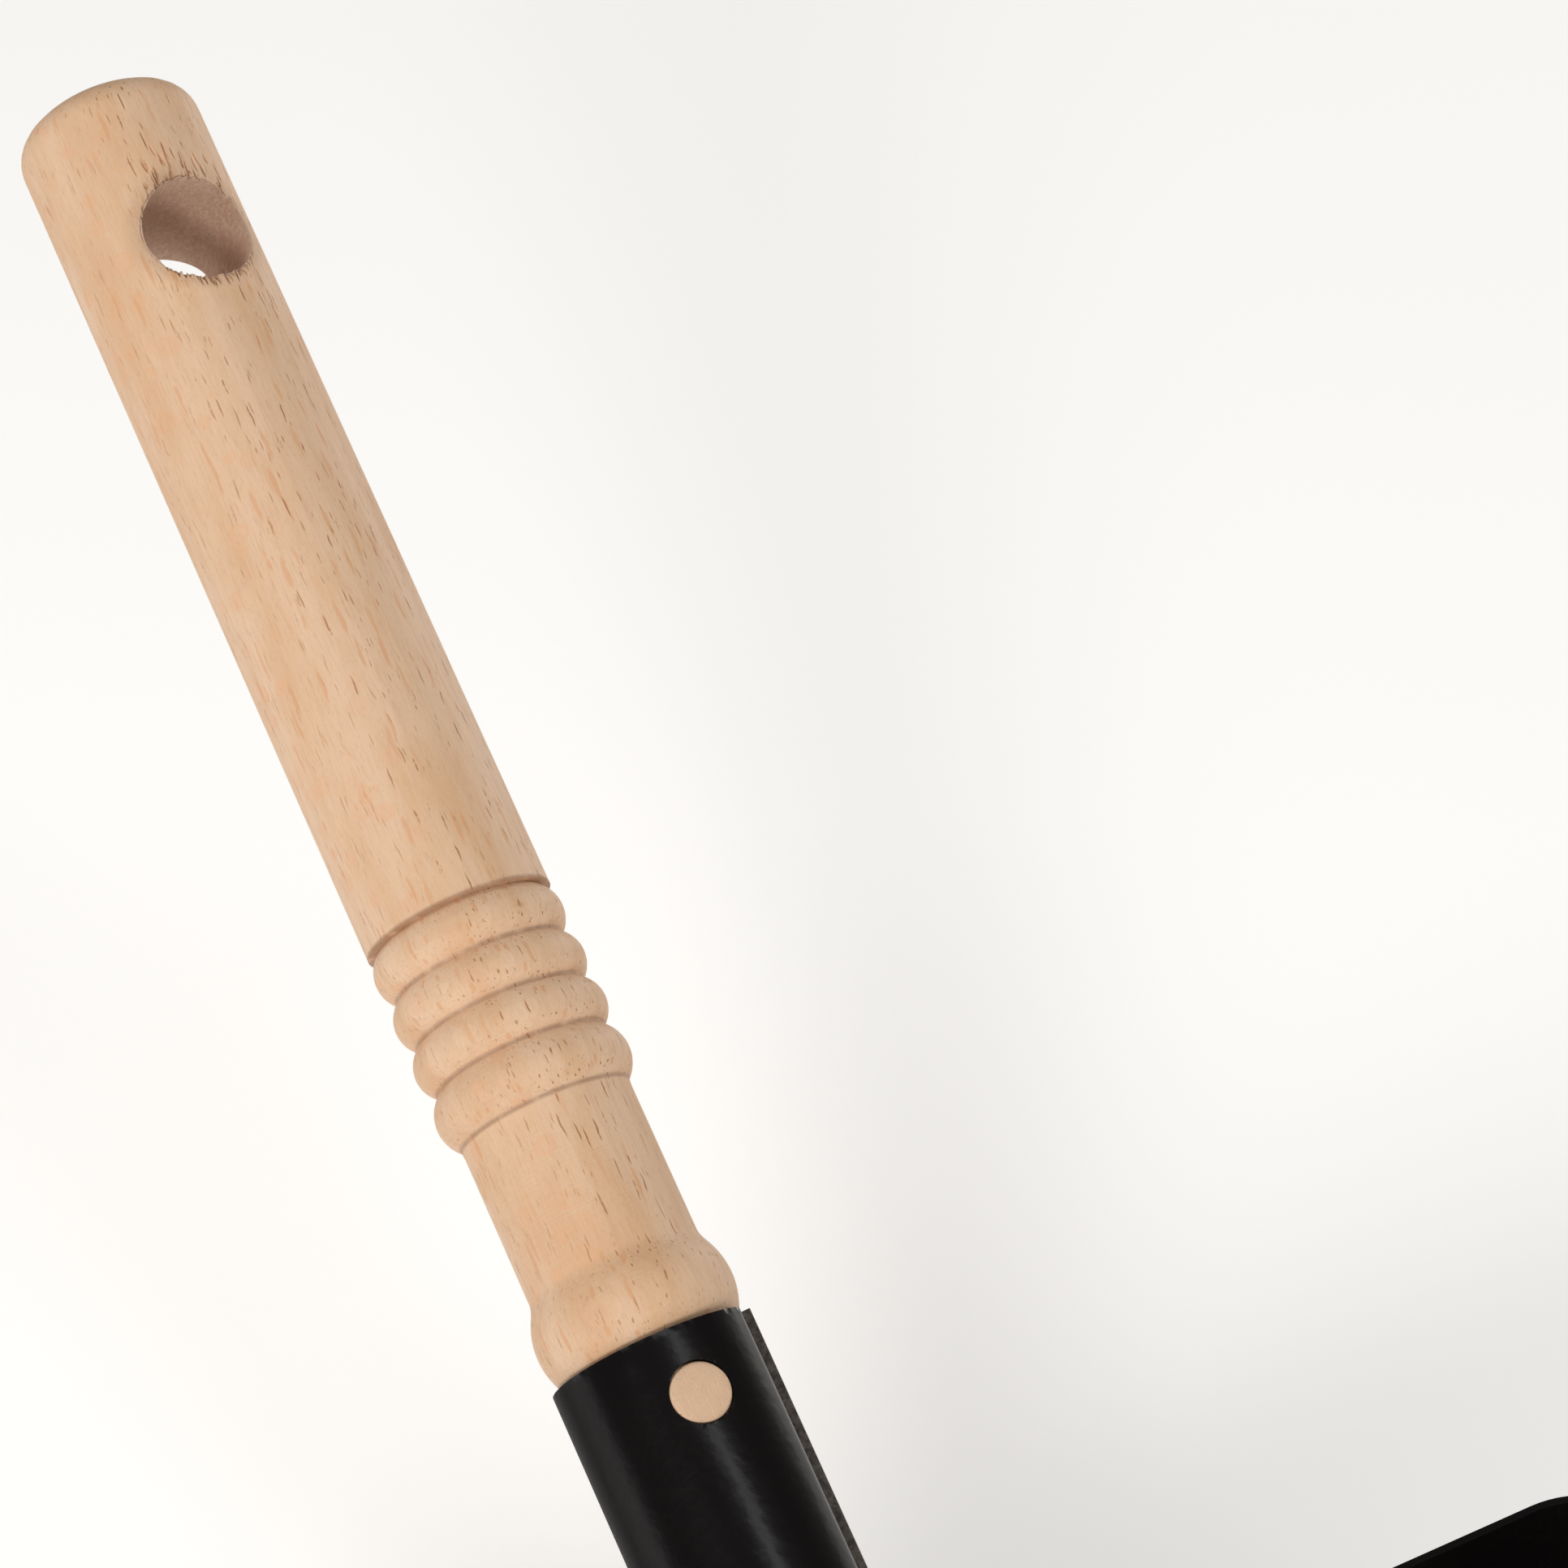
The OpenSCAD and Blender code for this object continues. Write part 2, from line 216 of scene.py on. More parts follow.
class Shader:
    """Short calls that build one node material round a Principled shader."""

    def __init__(self, name: str) -> None:
        """Start a material.

        Args:
            name: The material's name.
        """
        self.material = bpy.data.materials.new(name)
        self.material.use_nodes = True
        self.tree = self.material.node_tree
        self.surface = self.tree.nodes["Principled BSDF"]

    def add(self, kind: str, **settings: object) -> Node:
        """Add a node.

        Args:
            kind: The node's type, without its ShaderNode prefix.
            **settings: Properties to set on it.

        Returns:
            The new node.
        """
        node = self.tree.nodes.new("ShaderNode" + kind)
        for key, value in settings.items():
            setattr(node, key, value)
        return node

    def plug(self, value: object, socket: NodeSocket) -> None:
        """Link a socket, or set a plain value, on an input.

        Args:
            value: An output socket, a number or a colour.
            socket: The input that takes it.
        """
        if isinstance(value, NodeSocket):
            self.tree.links.new(value, socket)
        else:
            socket.default_value = value

    def dress(self, name: str, value: object) -> None:
        """Link a socket, or set a plain value, on the surface's own input."""
        self.plug(value, self.surface.inputs[name])

    def position(self) -> NodeSocket:
        """Return the Object coordinates, in metres in the frame."""
        return self.add("TexCoord").outputs["Object"]

    def local(self, frame: Matrix) -> NodeSocket:
        """Return the position in millimetres within a turned frame.

        Args:
            frame: Turn and place of that frame, in metres.

        Returns:
            A vector socket.
        """
        node = self.add("Mapping", vector_type="TEXTURE")
        node.inputs["Location"].default_value = frame.to_translation()
        node.inputs["Rotation"].default_value = frame.to_3x3().normalized().to_euler("XYZ")
        node.inputs["Scale"].default_value = (MM, MM, MM)
        self.plug(self.position(), node.inputs["Vector"])
        return node.outputs["Vector"]

    def stretch(
        self,
        vector: NodeSocket,
        scale: Sequence[float],
        turn: Sequence[float] = (0.0, 0.0, 0.0),
    ) -> NodeSocket:
        """Scale and turn a vector.

        Args:
            vector: The vector.
            scale: Factors along X, Y and Z.
            turn: Angles about X, Y and Z, in degrees.

        Returns:
            A vector socket.
        """
        node = self.add("Mapping")
        node.inputs["Scale"].default_value = scale
        node.inputs["Rotation"].default_value = [math.radians(angle) for angle in turn]
        self.plug(vector, node.inputs["Vector"])
        return node.outputs["Vector"]

    def parts(self, vector: NodeSocket) -> list[NodeSocket]:
        """Split a vector.

        Args:
            vector: The vector.

        Returns:
            Its X, Y and Z sockets.
        """
        node = self.add("SeparateXYZ")
        self.plug(vector, node.inputs[0])
        return list(node.outputs)

    def math(self, operation: str, *values: object, clamp: bool = False) -> NodeSocket:
        """Calculate with numbers.

        Args:
            operation: The Math node's operation.
            *values: Its inputs, as sockets or numbers.
            clamp: Whether the result is kept from 0 to 1.

        Returns:
            A number socket.
        """
        node = self.add("Math", operation=operation, use_clamp=clamp)
        for value, socket in zip(values, node.inputs):
            self.plug(value, socket)
        return node.outputs[0]

    def times(self, *values: object) -> NodeSocket:
        """Multiply numbers.

        Args:
            *values: The numbers, as sockets or plain.

        Returns:
            A number socket.
        """
        product = values[0]
        for value in values[1:]:
            product = self.math("MULTIPLY", product, value)
        return product

    def radius(self, first: NodeSocket, second: NodeSocket) -> NodeSocket:
        """Measure how far a place is from an axis.

        Args:
            first: Its offset one way.
            second: Its offset at right angles to that.

        Returns:
            A number socket.
        """
        squares = self.math("ADD", self.times(first, first), self.times(second, second))
        return self.math("SQRT", squares)

    def rise(self, value: object, low: float, high: float) -> NodeSocket:
        """Rise smoothly from 0 at low to 1 at high, or fall if low is above high.

        Args:
            value: The socket to read.
            low: Where the result is 0.
            high: Where the result is 1.

        Returns:
            A number socket.
        """
        node = self.add("MapRange", interpolation_type="SMOOTHSTEP")
        node.inputs["From Min"].default_value = min(low, high)
        node.inputs["From Max"].default_value = max(low, high)
        node.inputs["To Min"].default_value = 0.0 if low < high else 1.0
        node.inputs["To Max"].default_value = 1.0 if low < high else 0.0
        self.plug(value, node.inputs["Value"])
        return node.outputs["Result"]

    def scaled(self, value: object, low: float, high: float) -> NodeSocket:
        """Turn a factor from 0 to 1 into a number from low to high.

        Args:
            value: The factor.
            low: The result at 0.
            high: The result at 1.

        Returns:
            A number socket.
        """
        node = self.add("MapRange")
        node.inputs["To Min"].default_value = low
        node.inputs["To Max"].default_value = high
        self.plug(value, node.inputs["Value"])
        return node.outputs["Result"]

    def noise(
        self,
        vector: NodeSocket,
        scale: float,
        detail: float = 2.0,
        rough: float = 0.5,
        colour: bool = False,
    ) -> NodeSocket:
        """Read a noise texture.

        Args:
            vector: Where it is read.
            scale: How fine it is.
            detail: Number of octaves.
            rough: Share of each next octave.
            colour: Whether the vector-like colour is wanted.

        Returns:
            The factor socket, or the colour socket.
        """
        node = self.add("TexNoise")
        node.inputs["Scale"].default_value = scale
        node.inputs["Detail"].default_value = detail
        node.inputs["Roughness"].default_value = rough
        self.plug(vector, node.inputs["Vector"])
        return node.outputs["Color" if colour else "Fac"]

    def streaks(
        self,
        vector: NodeSocket,
        scale: Sequence[float],
        detail: float,
        rough: float = 0.5,
        colour: bool = False,
    ) -> NodeSocket:
        """Read a noise texture that is stretched by a factor along each axis."""
        return self.noise(self.stretch(vector, scale), 1.0, detail, rough, colour)

    def cells(self, vector: NodeSocket) -> tuple[NodeSocket, NodeSocket]:
        """Scatter points through space, one to a unit.

        Args:
            vector: Where the pattern is read.

        Returns:
            The distance to the nearest point, and that point's random number.
        """
        node = self.add("TexVoronoi")
        node.inputs["Scale"].default_value = 1.0
        self.plug(vector, node.inputs["Vector"])
        return node.outputs["Distance"], self.parts(node.outputs["Color"])[0]

    def shifted(
        self, vector: NodeSocket, by: NodeSocket, amount: float
    ) -> NodeSocket:
        """Push a vector about by a colour whose middle is grey.

        Args:
            vector: The vector to push.
            by: The colour.
            amount: How far its full range pushes.

        Returns:
            A vector socket.
        """
        centred = self.add("VectorMath", operation="SUBTRACT")
        self.plug(by, centred.inputs[0])
        centred.inputs[1].default_value = (0.5, 0.5, 0.5)
        node = self.add("VectorMath", operation="MULTIPLY_ADD")
        self.plug(centred.outputs[0], node.inputs[0])
        node.inputs[1].default_value = (amount, amount, amount)
        self.plug(vector, node.inputs[2])
        return node.outputs[0]

    def mix(self, factor: object, first: object, second: object) -> NodeSocket:
        """Blend two colours.

        Args:
            factor: Share of the second colour.
            first: The colour below.
            second: The colour above.

        Returns:
            A colour socket.
        """
        node = self.add("Mix", data_type="RGBA")
        self.plug(factor, node.inputs[0])
        self.plug(first, node.inputs[6])
        self.plug(second, node.inputs[7])
        return node.outputs[2]

    def stain(self, colour: object, mask: NodeSocket, share: float, tint: object) -> NodeSocket:
        """Lay a share of a tint over a colour, as far as a mask reaches."""
        return self.mix(self.times(mask, share), colour, tint)

    def bump(
        self, height: object, depth: float, below: NodeSocket | None = None
    ) -> NodeSocket:
        """Raise the surface by a height.

        Args:
            height: The height, from 0 to 1.
            depth: How far 1 raises it, in metres.
            below: The normal that this one adds to.

        Returns:
            A normal socket.
        """
        node = self.add("Bump")
        node.inputs["Distance"].default_value = depth
        self.plug(height, node.inputs["Height"])
        if below is not None:
            self.plug(below, node.inputs["Normal"])
        return node.outputs["Normal"]


@dataclass(frozen=True)
class Dashes:
    """One kind of dash that runs along the grain."""

    scale: tuple[float, float, float]
    turn: tuple[float, float, float]
    width: float
    rarity: float

    def lay(self, shader: Shader, place: NodeSocket) -> NodeSocket:
        """Scatter the dashes.

        Args:
            shader: The material being built.
            place: Position in millimetres, its Z along the grain.

        Returns:
            The dashes' mask.
        """
        near, lot = shader.cells(shader.stretch(place, self.scale, self.turn))
        drawn = shader.rise(near, self.width, self.width * 0.55)
        return shader.times(drawn, shader.rise(lot, self.rarity, self.rarity + 0.3))


@dataclass(frozen=True)
class Beech:
    """Turned and sanded beech: straight grain, short dark flecks, soft rings."""

    pale: Colour = (0.805, 0.560, 0.382, 1.0)
    warm: Colour = (0.740, 0.465, 0.275, 1.0)
    ring: Colour = (0.570, 0.335, 0.195, 1.0)
    fleck: Colour = (0.380, 0.145, 0.045, 1.0)
    halo: Colour = (0.700, 0.325, 0.140, 1.0)
    patch: Colour = (0.800, 0.420, 0.225, 1.0)
    # Bore colours: torn end-grain tone, lightened beyond the outside wood as painted light for the light
    # falling into the hang hole.
    bore_lit_tone: Colour = (0.810, 0.510, 0.355, 1.0)
    torn: Colour = (0.970, 0.700, 0.545, 1.0)
    # Painted shade laid along the turned grooves at the bead edges.
    groove: Colour = (0.250, 0.120, 0.070, 1.0)
    pith: tuple[float, float] = (-31.0, 22.0)
    ring_gap: float = 2.6
    grip_r: float = 13.5
    fleck_face: float = 38.0
    bold: Dashes = Dashes((1.55, 1.55, 0.105), (2.0, -3.0, 0.0), 0.23, 0.18)
    fine: Dashes = Dashes((2.3, 2.3, 0.19), (-3.0, 2.0, 0.0), 0.24, 0.42)
    aura: Dashes = Dashes((0.95, 0.95, 0.12), (3.0, 1.0, 0.0), 0.40, 0.60)

    def grain(self, shader: Shader, place: NodeSocket) -> tuple[NodeSocket, NodeSocket]:
        """Lay the wood's colours and heights.

        Args:
            shader: The material being built.
            place: Position in millimetres, its Z along the grain.

        Returns:
            The colour socket and the height socket.
        """
        wander = shader.streaks(place, (0.09, 0.09, 0.012), 2.0, colour=True)
        bent = shader.shifted(place, wander, 2.0)
        tone = shader.streaks(bent, (0.13, 0.13, 0.032), 4.0, 0.6)
        colour = shader.mix(shader.rise(tone, 0.36, 0.68), self.pale, self.warm)

        across = shader.parts(bent)
        out = shader.math("SUBTRACT", across[0], self.pith[0])
        side = shader.math("SUBTRACT", across[1], self.pith[1])
        turns = shader.math("DIVIDE", shader.radius(out, side), self.ring_gap)
        late = shader.math("POWER", shader.math("FRACT", turns), 4.0)
        colour = shader.stain(colour, late, 0.17, self.ring)

        fibres = shader.streaks(bent, (3.2, 3.2, 0.26), 4.0, 0.62)
        colour = shader.stain(colour, shader.rise(fibres, 0.42, 0.78), 0.30, self.ring)
        sanded = shader.streaks(place, (2.1, 2.1, 1.3), 3.0, 0.7)
        colour = shader.stain(colour, shader.rise(sanded, 0.48, 0.75), 0.22, self.pale)
        colour = shader.stain(colour, shader.rise(sanded, 0.47, 0.28), 0.24, self.ring)

        straight = shader.parts(place)
        fleck_turn = math.radians(self.fleck_face)
        facing = shader.math(
            "ADD",
            shader.times(straight[0], math.cos(fleck_turn) / self.grip_r),
            shader.times(straight[1], math.sin(fleck_turn) / self.grip_r),
        )
        facing = shader.math("ABSOLUTE", facing)
        wriggle = shader.streaks(place, (0.5, 0.5, 0.34), 2.0, colour=True)
        wavy = shader.shifted(place, wriggle, 0.7)
        spot, pick = shader.cells(shader.stretch(wavy, (0.27, 0.27, 0.30)))
        chosen = shader.times(shader.rise(spot, 0.52, 0.40), shader.rise(pick, 0.62, 0.72))
        rimmed = shader.scaled(shader.rise(spot, 0.10, 0.46), 0.45, 1.0)
        flat = shader.times(chosen, rimmed, shader.rise(facing, 0.85, 0.40))
        colour = shader.stain(colour, flat, 0.34, self.patch)

        share = shader.scaled(shader.rise(facing, 0.15, 0.80), 0.40, 1.0)
        broken = shader.rise(shader.streaks(place, (1.6, 1.6, 0.9), 2.0), 0.30, 0.44)
        bold = self.bold.lay(shader, wavy)
        fine = self.fine.lay(shader, wavy)
        aura = self.aura.lay(shader, wavy)
        colour = shader.stain(colour, aura, 0.50, self.halo)
        mask = shader.times(bold, broken, share)
        small = shader.times(fine, broken, share)
        colour = shader.stain(colour, small, 0.66, self.fleck)
        colour = shader.stain(colour, mask, 0.85, self.fleck)

        pits = shader.math("MAXIMUM", mask, shader.times(small, 0.6))
        rough = shader.math("ADD", shader.scaled(fibres, 0.0, 0.35), shader.scaled(sanded, 0.0, 0.30))
        height = shader.math("SUBTRACT", rough, pits)
        return colour, height


@dataclass(frozen=True)
class HandleFinish:
    """Beech on the handle, with lathe rings, painted shade in the grooves and a torn bore whose tone is
    lightened with painted light.
    """

    beech: Beech = Beech()

    def build(self, axis: "HandleAxis", handle: "Handle") -> Material:
        """Make the handle's material.

        Args:
            axis: The handle's place in the frame.
            handle: The handle's sizes.

        Returns:
            The material.
        """
        shader = Shader("beech_turned")
        place = shader.local(axis.turn)
        colour, height = self.beech.grain(shader, place)
        along = shader.parts(place)[2]

        line = None
        for edge in handle.bead_edges:
            gap = shader.math("ABSOLUTE", shader.math("SUBTRACT", along, edge))
            line = gap if line is None else shader.math("MINIMUM", line, gap)
        broken = shader.streaks(place, (0.35, 0.35, 0.2), 2.0)
        # Painted shade: the grooves at the bead edges are darkened, broken up by noise.
        dark = shader.times(shader.rise(line, 0.55, 0.05), shader.rise(broken, 0.05, 0.55))
        colour = shader.stain(colour, dark, 0.55, self.beech.groove)

        rings = shader.streaks(place, (0.02, 0.02, 3.4), 3.0, 0.7)
        turned = shader.times(rings, shader.rise(along, handle.bead_edges[0] + 3.0, handle.bead_edges[0]))

        bore = shader.local(axis.turn @ handle.bore_frame(metres=True))
        bore_parts = shader.parts(bore)
        reach = shader.radius(bore_parts[0], bore_parts[1])
        inside = shader.rise(reach, handle.hang_r + 0.35, handle.hang_r + 0.12)
        fuzz = shader.streaks(bore, (1.8, 1.8, 0.9), 5.0, 0.75)
        # Bore tone: torn end-grain wood, lightened as painted light for the light falling into the hole.
        bore_lit_mix = shader.mix(shader.rise(fuzz, 0.40, 0.66), self.beech.bore_lit_tone, self.beech.torn)
        colour = shader.stain(colour, inside, 0.92, bore_lit_mix)
        torn = shader.times(fuzz, inside)
        frayed = shader.rise(reach, handle.hang_r + 3.4, handle.hang_r + 0.2)
        lifted = shader.streaks(place, (2.6, 2.6, 0.35), 4.0, 0.7)
        frayed = shader.times(frayed, lifted)

        normal = shader.bump(height, 0.000035)
        normal = shader.bump(turned, 0.00006, normal)
        normal = shader.bump(torn, 0.0005, normal)
        normal = shader.bump(frayed, 0.0005, normal)
        shader.dress("Base Color", colour)
        rough = shader.math("ADD", shader.scaled(height, 0.56, 0.50), shader.times(inside, 0.3), clamp=True)
        shader.dress("Roughness", rough)
        shader.dress("Specular IOR Level", 0.32)
        shader.dress("Normal", normal)
        return shader.material


@dataclass(frozen=True)
class PegFinish:
    """Sanded end grain: small pores and fine pale rays."""

    base: Colour = (0.740, 0.510, 0.345, 1.0)
    pore: Colour = (0.560, 0.350, 0.215, 1.0)
    ray: Colour = (0.830, 0.600, 0.430, 1.0)

    def build(self, axis: "HandleAxis") -> Material:
        """Make the peg's material.

        Args:
            axis: The handle's place in the frame.

        Returns:
            The material.
        """
        shader = Shader("beech_end_grain")
        place = shader.local(axis.turn)
        near, lot = shader.cells(shader.stretch(place, (0.3, 3.4, 3.4)))
        pores = shader.times(shader.rise(near, 0.42, 0.18), shader.rise(lot, 0.35, 0.6))
        rays = shader.noise(shader.stretch(place, (0.2, 4.5, 0.35), (12.0, 0.0, 0.0)), 1.0, 3.0)
        tone = shader.streaks(place, (0.2, 0.5, 0.5), 2.0)
        colour = shader.mix(shader.scaled(tone, 0.0, 0.35), self.base, self.pore)
        colour = shader.stain(colour, shader.rise(rays, 0.52, 0.72), 0.45, self.ray)
        colour = shader.stain(colour, pores, 0.5, self.pore)
        shader.dress("Base Color", colour)
        shader.dress("Roughness", shader.scaled(tone, 0.55, 0.72))
        shader.dress("Specular IOR Level", 0.3)
        height = shader.math("SUBTRACT", rays, pores)
        shader.dress("Normal", shader.bump(height, 0.00004))
        return shader.material


@dataclass(frozen=True)
class BlackPaint:
    """Semi-gloss black paint with a fine orange peel and a little dust."""

    name: str
    base: Colour = (0.0030, 0.0020, 0.0022, 1.0)
    dusty: Colour = (0.0075, 0.0055, 0.0050, 1.0)
    gloss: tuple[float, float] = (0.23, 0.31)
    peel: float = 0.000012
    scuffs: float = 0.25
    # Lighter grey laid on the lap edge: partly real wear, partly painted sheen that stands in for a
    # reflection.
    wear_sheen_grey: Colour = (0.210, 0.182, 0.165, 1.0)

    def build(self) -> Material:
        """Make the paint.

        Returns:
            The material.
        """
        return self.lay(Shader(self.name), 0.0)

    def lay(self, shader: Shader, wear_and_sheen_mask: object, shaded_side_dull: object = 0.0) -> Material:
        """Lay the paint, greyed where wear and painted sheen are laid.

        Args:
            shader: The material being built.
            wear_and_sheen_mask: Mask of the places greyed by wear and painted sheen, or 0.
            shaded_side_dull: Mask of the places made matt as painted shade, or 0.

        Returns:
            The material.
        """
        place = shader.stretch(shader.position(), (1.0 / MM, 1.0 / MM, 1.0 / MM))
        cloud = shader.noise(place, 0.035, 4.0, 0.6)
        dust = shader.noise(place, 0.9, 3.0, 0.7)
        dirt = shader.times(shader.rise(cloud, 0.42, 0.75), shader.rise(dust, 0.40, 0.8))
        colour = shader.mix(dirt, self.base, self.dusty)
        lines = shader.noise(shader.stretch(place, (0.05, 2.6, 0.4), (0.0, 8.0, 31.0)), 1.0, 2.0)
        lines = shader.times(shader.rise(lines, 0.66, 0.72), shader.rise(cloud, 0.5, 0.62))
        # Lighter grey where the mask reaches: partly wear, partly painted sheen standing for a grazing
        # reflection.
        if isinstance(wear_and_sheen_mask, NodeSocket):
            patchy_wear_sheen = shader.times(wear_and_sheen_mask, shader.scaled(shader.rise(dust, 0.36, 0.66), 0.42, 1.0))
            colour = shader.mix(patchy_wear_sheen, colour, self.wear_sheen_grey)
        shader.dress("Base Color", colour)
        shader.dress("Specular IOR Level", 0.30)
        rough = shader.math(
            "ADD",
            shader.scaled(cloud, *self.gloss),
            shader.times(lines, self.scuffs),
            clamp=True,
        )
        # Painted shade: the masked side gets rougher paint with less reflection, to darken it.
        if isinstance(shaded_side_dull, NodeSocket):
            rough = shader.math("ADD", rough, shader.times(shaded_side_dull, 0.22), clamp=True)
            shader.dress("Specular IOR Level", shader.scaled(shaded_side_dull, 0.30, 0.05))
        shader.dress("Roughness", rough)
        grain = shader.noise(place, 0.55, 2.0, 0.5)
        shader.dress("Normal", shader.bump(grain, self.peel * 4.0))
        return shader.material


@dataclass(frozen=True)
class SocketPaint(BlackPaint):
    """The socket's paint, greyed along the sheared edge of the lap by wear and a painted sheen, and less
    glossy on its left side as painted shade.
    """

    def build_on(self, axis: "HandleAxis", socket: "Socket") -> Material:
        """Make the paint.

        Args:
            axis: The socket's place in the frame.
            socket: The socket's sizes.

        Returns:
            The material.
        """
        shader = Shader(self.name)
        across = shader.parts(shader.local(axis.turn))
        azimuth = shader.math("ARCTAN2", across[1], across[0])
        edge = math.radians(socket.lap_at)
        outer = shader.rise(shader.radius(across[0], across[1]), socket.radius - 1.28, socket.radius - 1.1)
        before = shader.rise(azimuth, edge - 0.05, edge - 0.01)
        after = shader.rise(azimuth, edge + 0.16, edge + 0.03)
        # Strip along the lap edge, greyed as wear and as painted sheen for the reflection it catches.
        wear_and_sheen_mask = shader.times(before, after, outer)
        # Left side of the socket, made matt as painted shade.
        left = shader.rise(azimuth, math.radians(-50.0), math.radians(-78.0))
        below = shader.rise(azimuth, math.radians(-179.0), math.radians(-150.0))
        return self.lay(shader, wear_and_sheen_mask, shader.times(left, below))


# ---------------------------------------------------------------------------
# Meshes
# ---------------------------------------------------------------------------


@dataclass(frozen=True)
class HandleAxis:
    """The line that the handle, the peg and the socket share.

    Its own frame has X to the top, Y to the right and Z towards the tip, with
    zero at the socket's rim.
    """

    turn: Matrix

    @classmethod
    def from_frame(cls, tilt: float = 27.5, peg_at: float = 9.3) -> "HandleAxis":
        """Find the axis from the peg's place.

        Args:
            tilt: Slope of the handle above the ground, in degrees.
            peg_at: Distance from the rim to the peg.

        Returns:
            The axis.
        """
        low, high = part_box("cross_peg")
        slope = math.radians(tilt)
        tip = Vector((0.0, math.cos(slope), math.sin(slope)))
        top = Vector((0.0, -math.sin(slope), math.cos(slope)))
        right = Vector((1.0, 0.0, 0.0))
        rim = (low + high) / 2.0 + tip * (peg_at * MM)
        turn = Matrix((top, right, tip)).transposed().to_4x4()
        turn.translation = rim
        return cls(turn)

    @property
    def place(self) -> Matrix:
        """Matrix from millimetres on the handle to metres in the frame."""
        return self.turn @ Matrix.Scale(MM, 4)


class Workshop:
    """Turns bmeshes into finished pieces that ride on the shovel."""

    def __init__(self) -> None:
        """Start with no pieces."""
        self.pieces: list[Object] = []

    def mesh_object(self, mesh: BMesh, name: str, place: Matrix) -> Object:
        """Make an object of a bmesh.

        Args:
            mesh: The bmesh, which is freed.
            name: The object's name.
            place: Matrix from the bmesh's units to the frame's metres.

        Returns:
            The object, at the origin.
        """
        bmesh.ops.transform(mesh, matrix=place, verts=mesh.verts)
        data = bpy.data.meshes.new(name)
        mesh.to_mesh(data)
        mesh.free()
        made = bpy.data.objects.new(name, data)
        bpy.context.scene.collection.objects.link(made)
        return made

    def settle(self, piece: Object) -> None:
        """Apply a piece's modifiers to its mesh.

        Args:
            piece: The piece.
        """
        view = bpy.context.evaluated_depsgraph_get()
        old = piece.data
        piece.data = bpy.data.meshes.new_from_object(piece.evaluated_get(view))
        piece.data.name = piece.name
        piece.modifiers.clear()
        bpy.data.meshes.remove(old)

    def thicken(self, piece: Object, thickness: float) -> None:
        """Give a sheet its thickness, behind its outer face.

        Args:
            piece: The sheet.
            thickness: The thickness, in millimetres.
        """
        wall = piece.modifiers.new("wall", "SOLIDIFY")
        wall.thickness = thickness * MM
        wall.offset = -1.0
        wall.use_even_offset = True
        self.settle(piece)

    def round_edges(
        self, piece: Object, width: float, segments: int = 3, angle: float = 40.0
    ) -> None:
        """Round a piece's sharp edges.

        Args:
            piece: The piece.
            width: Width of the rounding, in millimetres.
            segments: Number of its segments.
            angle: Smallest angle that counts as sharp, in degrees.
        """
        bevel = piece.modifiers.new("edges", "BEVEL")
        bevel.width = width * MM
        bevel.segments = segments
        bevel.limit_method = "ANGLE"
        bevel.angle_limit = math.radians(angle)
        bevel.use_clamp_overlap = True
        self.settle(piece)

    def cut(self, piece: Object, cutter: Object, tangled: bool = False) -> None:
        """Cut one object out of a piece, and remove the cutter.

        Args:
            piece: The piece.
            cutter: What is cut out.
            tangled: Whether the cutter's own parts overlap.
        """
        taken = piece.modifiers.new("cut", "BOOLEAN")
        taken.object = cutter
        taken.operation = "DIFFERENCE"
        taken.solver = "EXACT"
        taken.use_self = tangled
        self.settle(piece)
        bpy.data.objects.remove(cutter)

    def finish(
        self,
        piece: Object,
        material: Material,
        slot: Slot,
        nodes: Iterable[str],
        smooth: float = 35.0,
    ) -> None:
        """Dress a piece and fix it to the shovel.

        Args:
            piece: The piece.
            material: Its material.
            slot: The record's slot that it belongs to; not used.
            nodes: The nodes that it stands for.
            smooth: Angle below which its faces shade smoothly, in degrees.
        """
        piece.data.materials.clear()
        piece.data.materials.append(material)
        piece.data.shade_smooth()
        piece.data.set_sharp_from_angle(angle=math.radians(smooth))
        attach(piece, BODY)
        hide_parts(*nodes)
        self.pieces.append(piece)
        LOG.info("%s: %d faces", piece.name, len(piece.data.polygons))


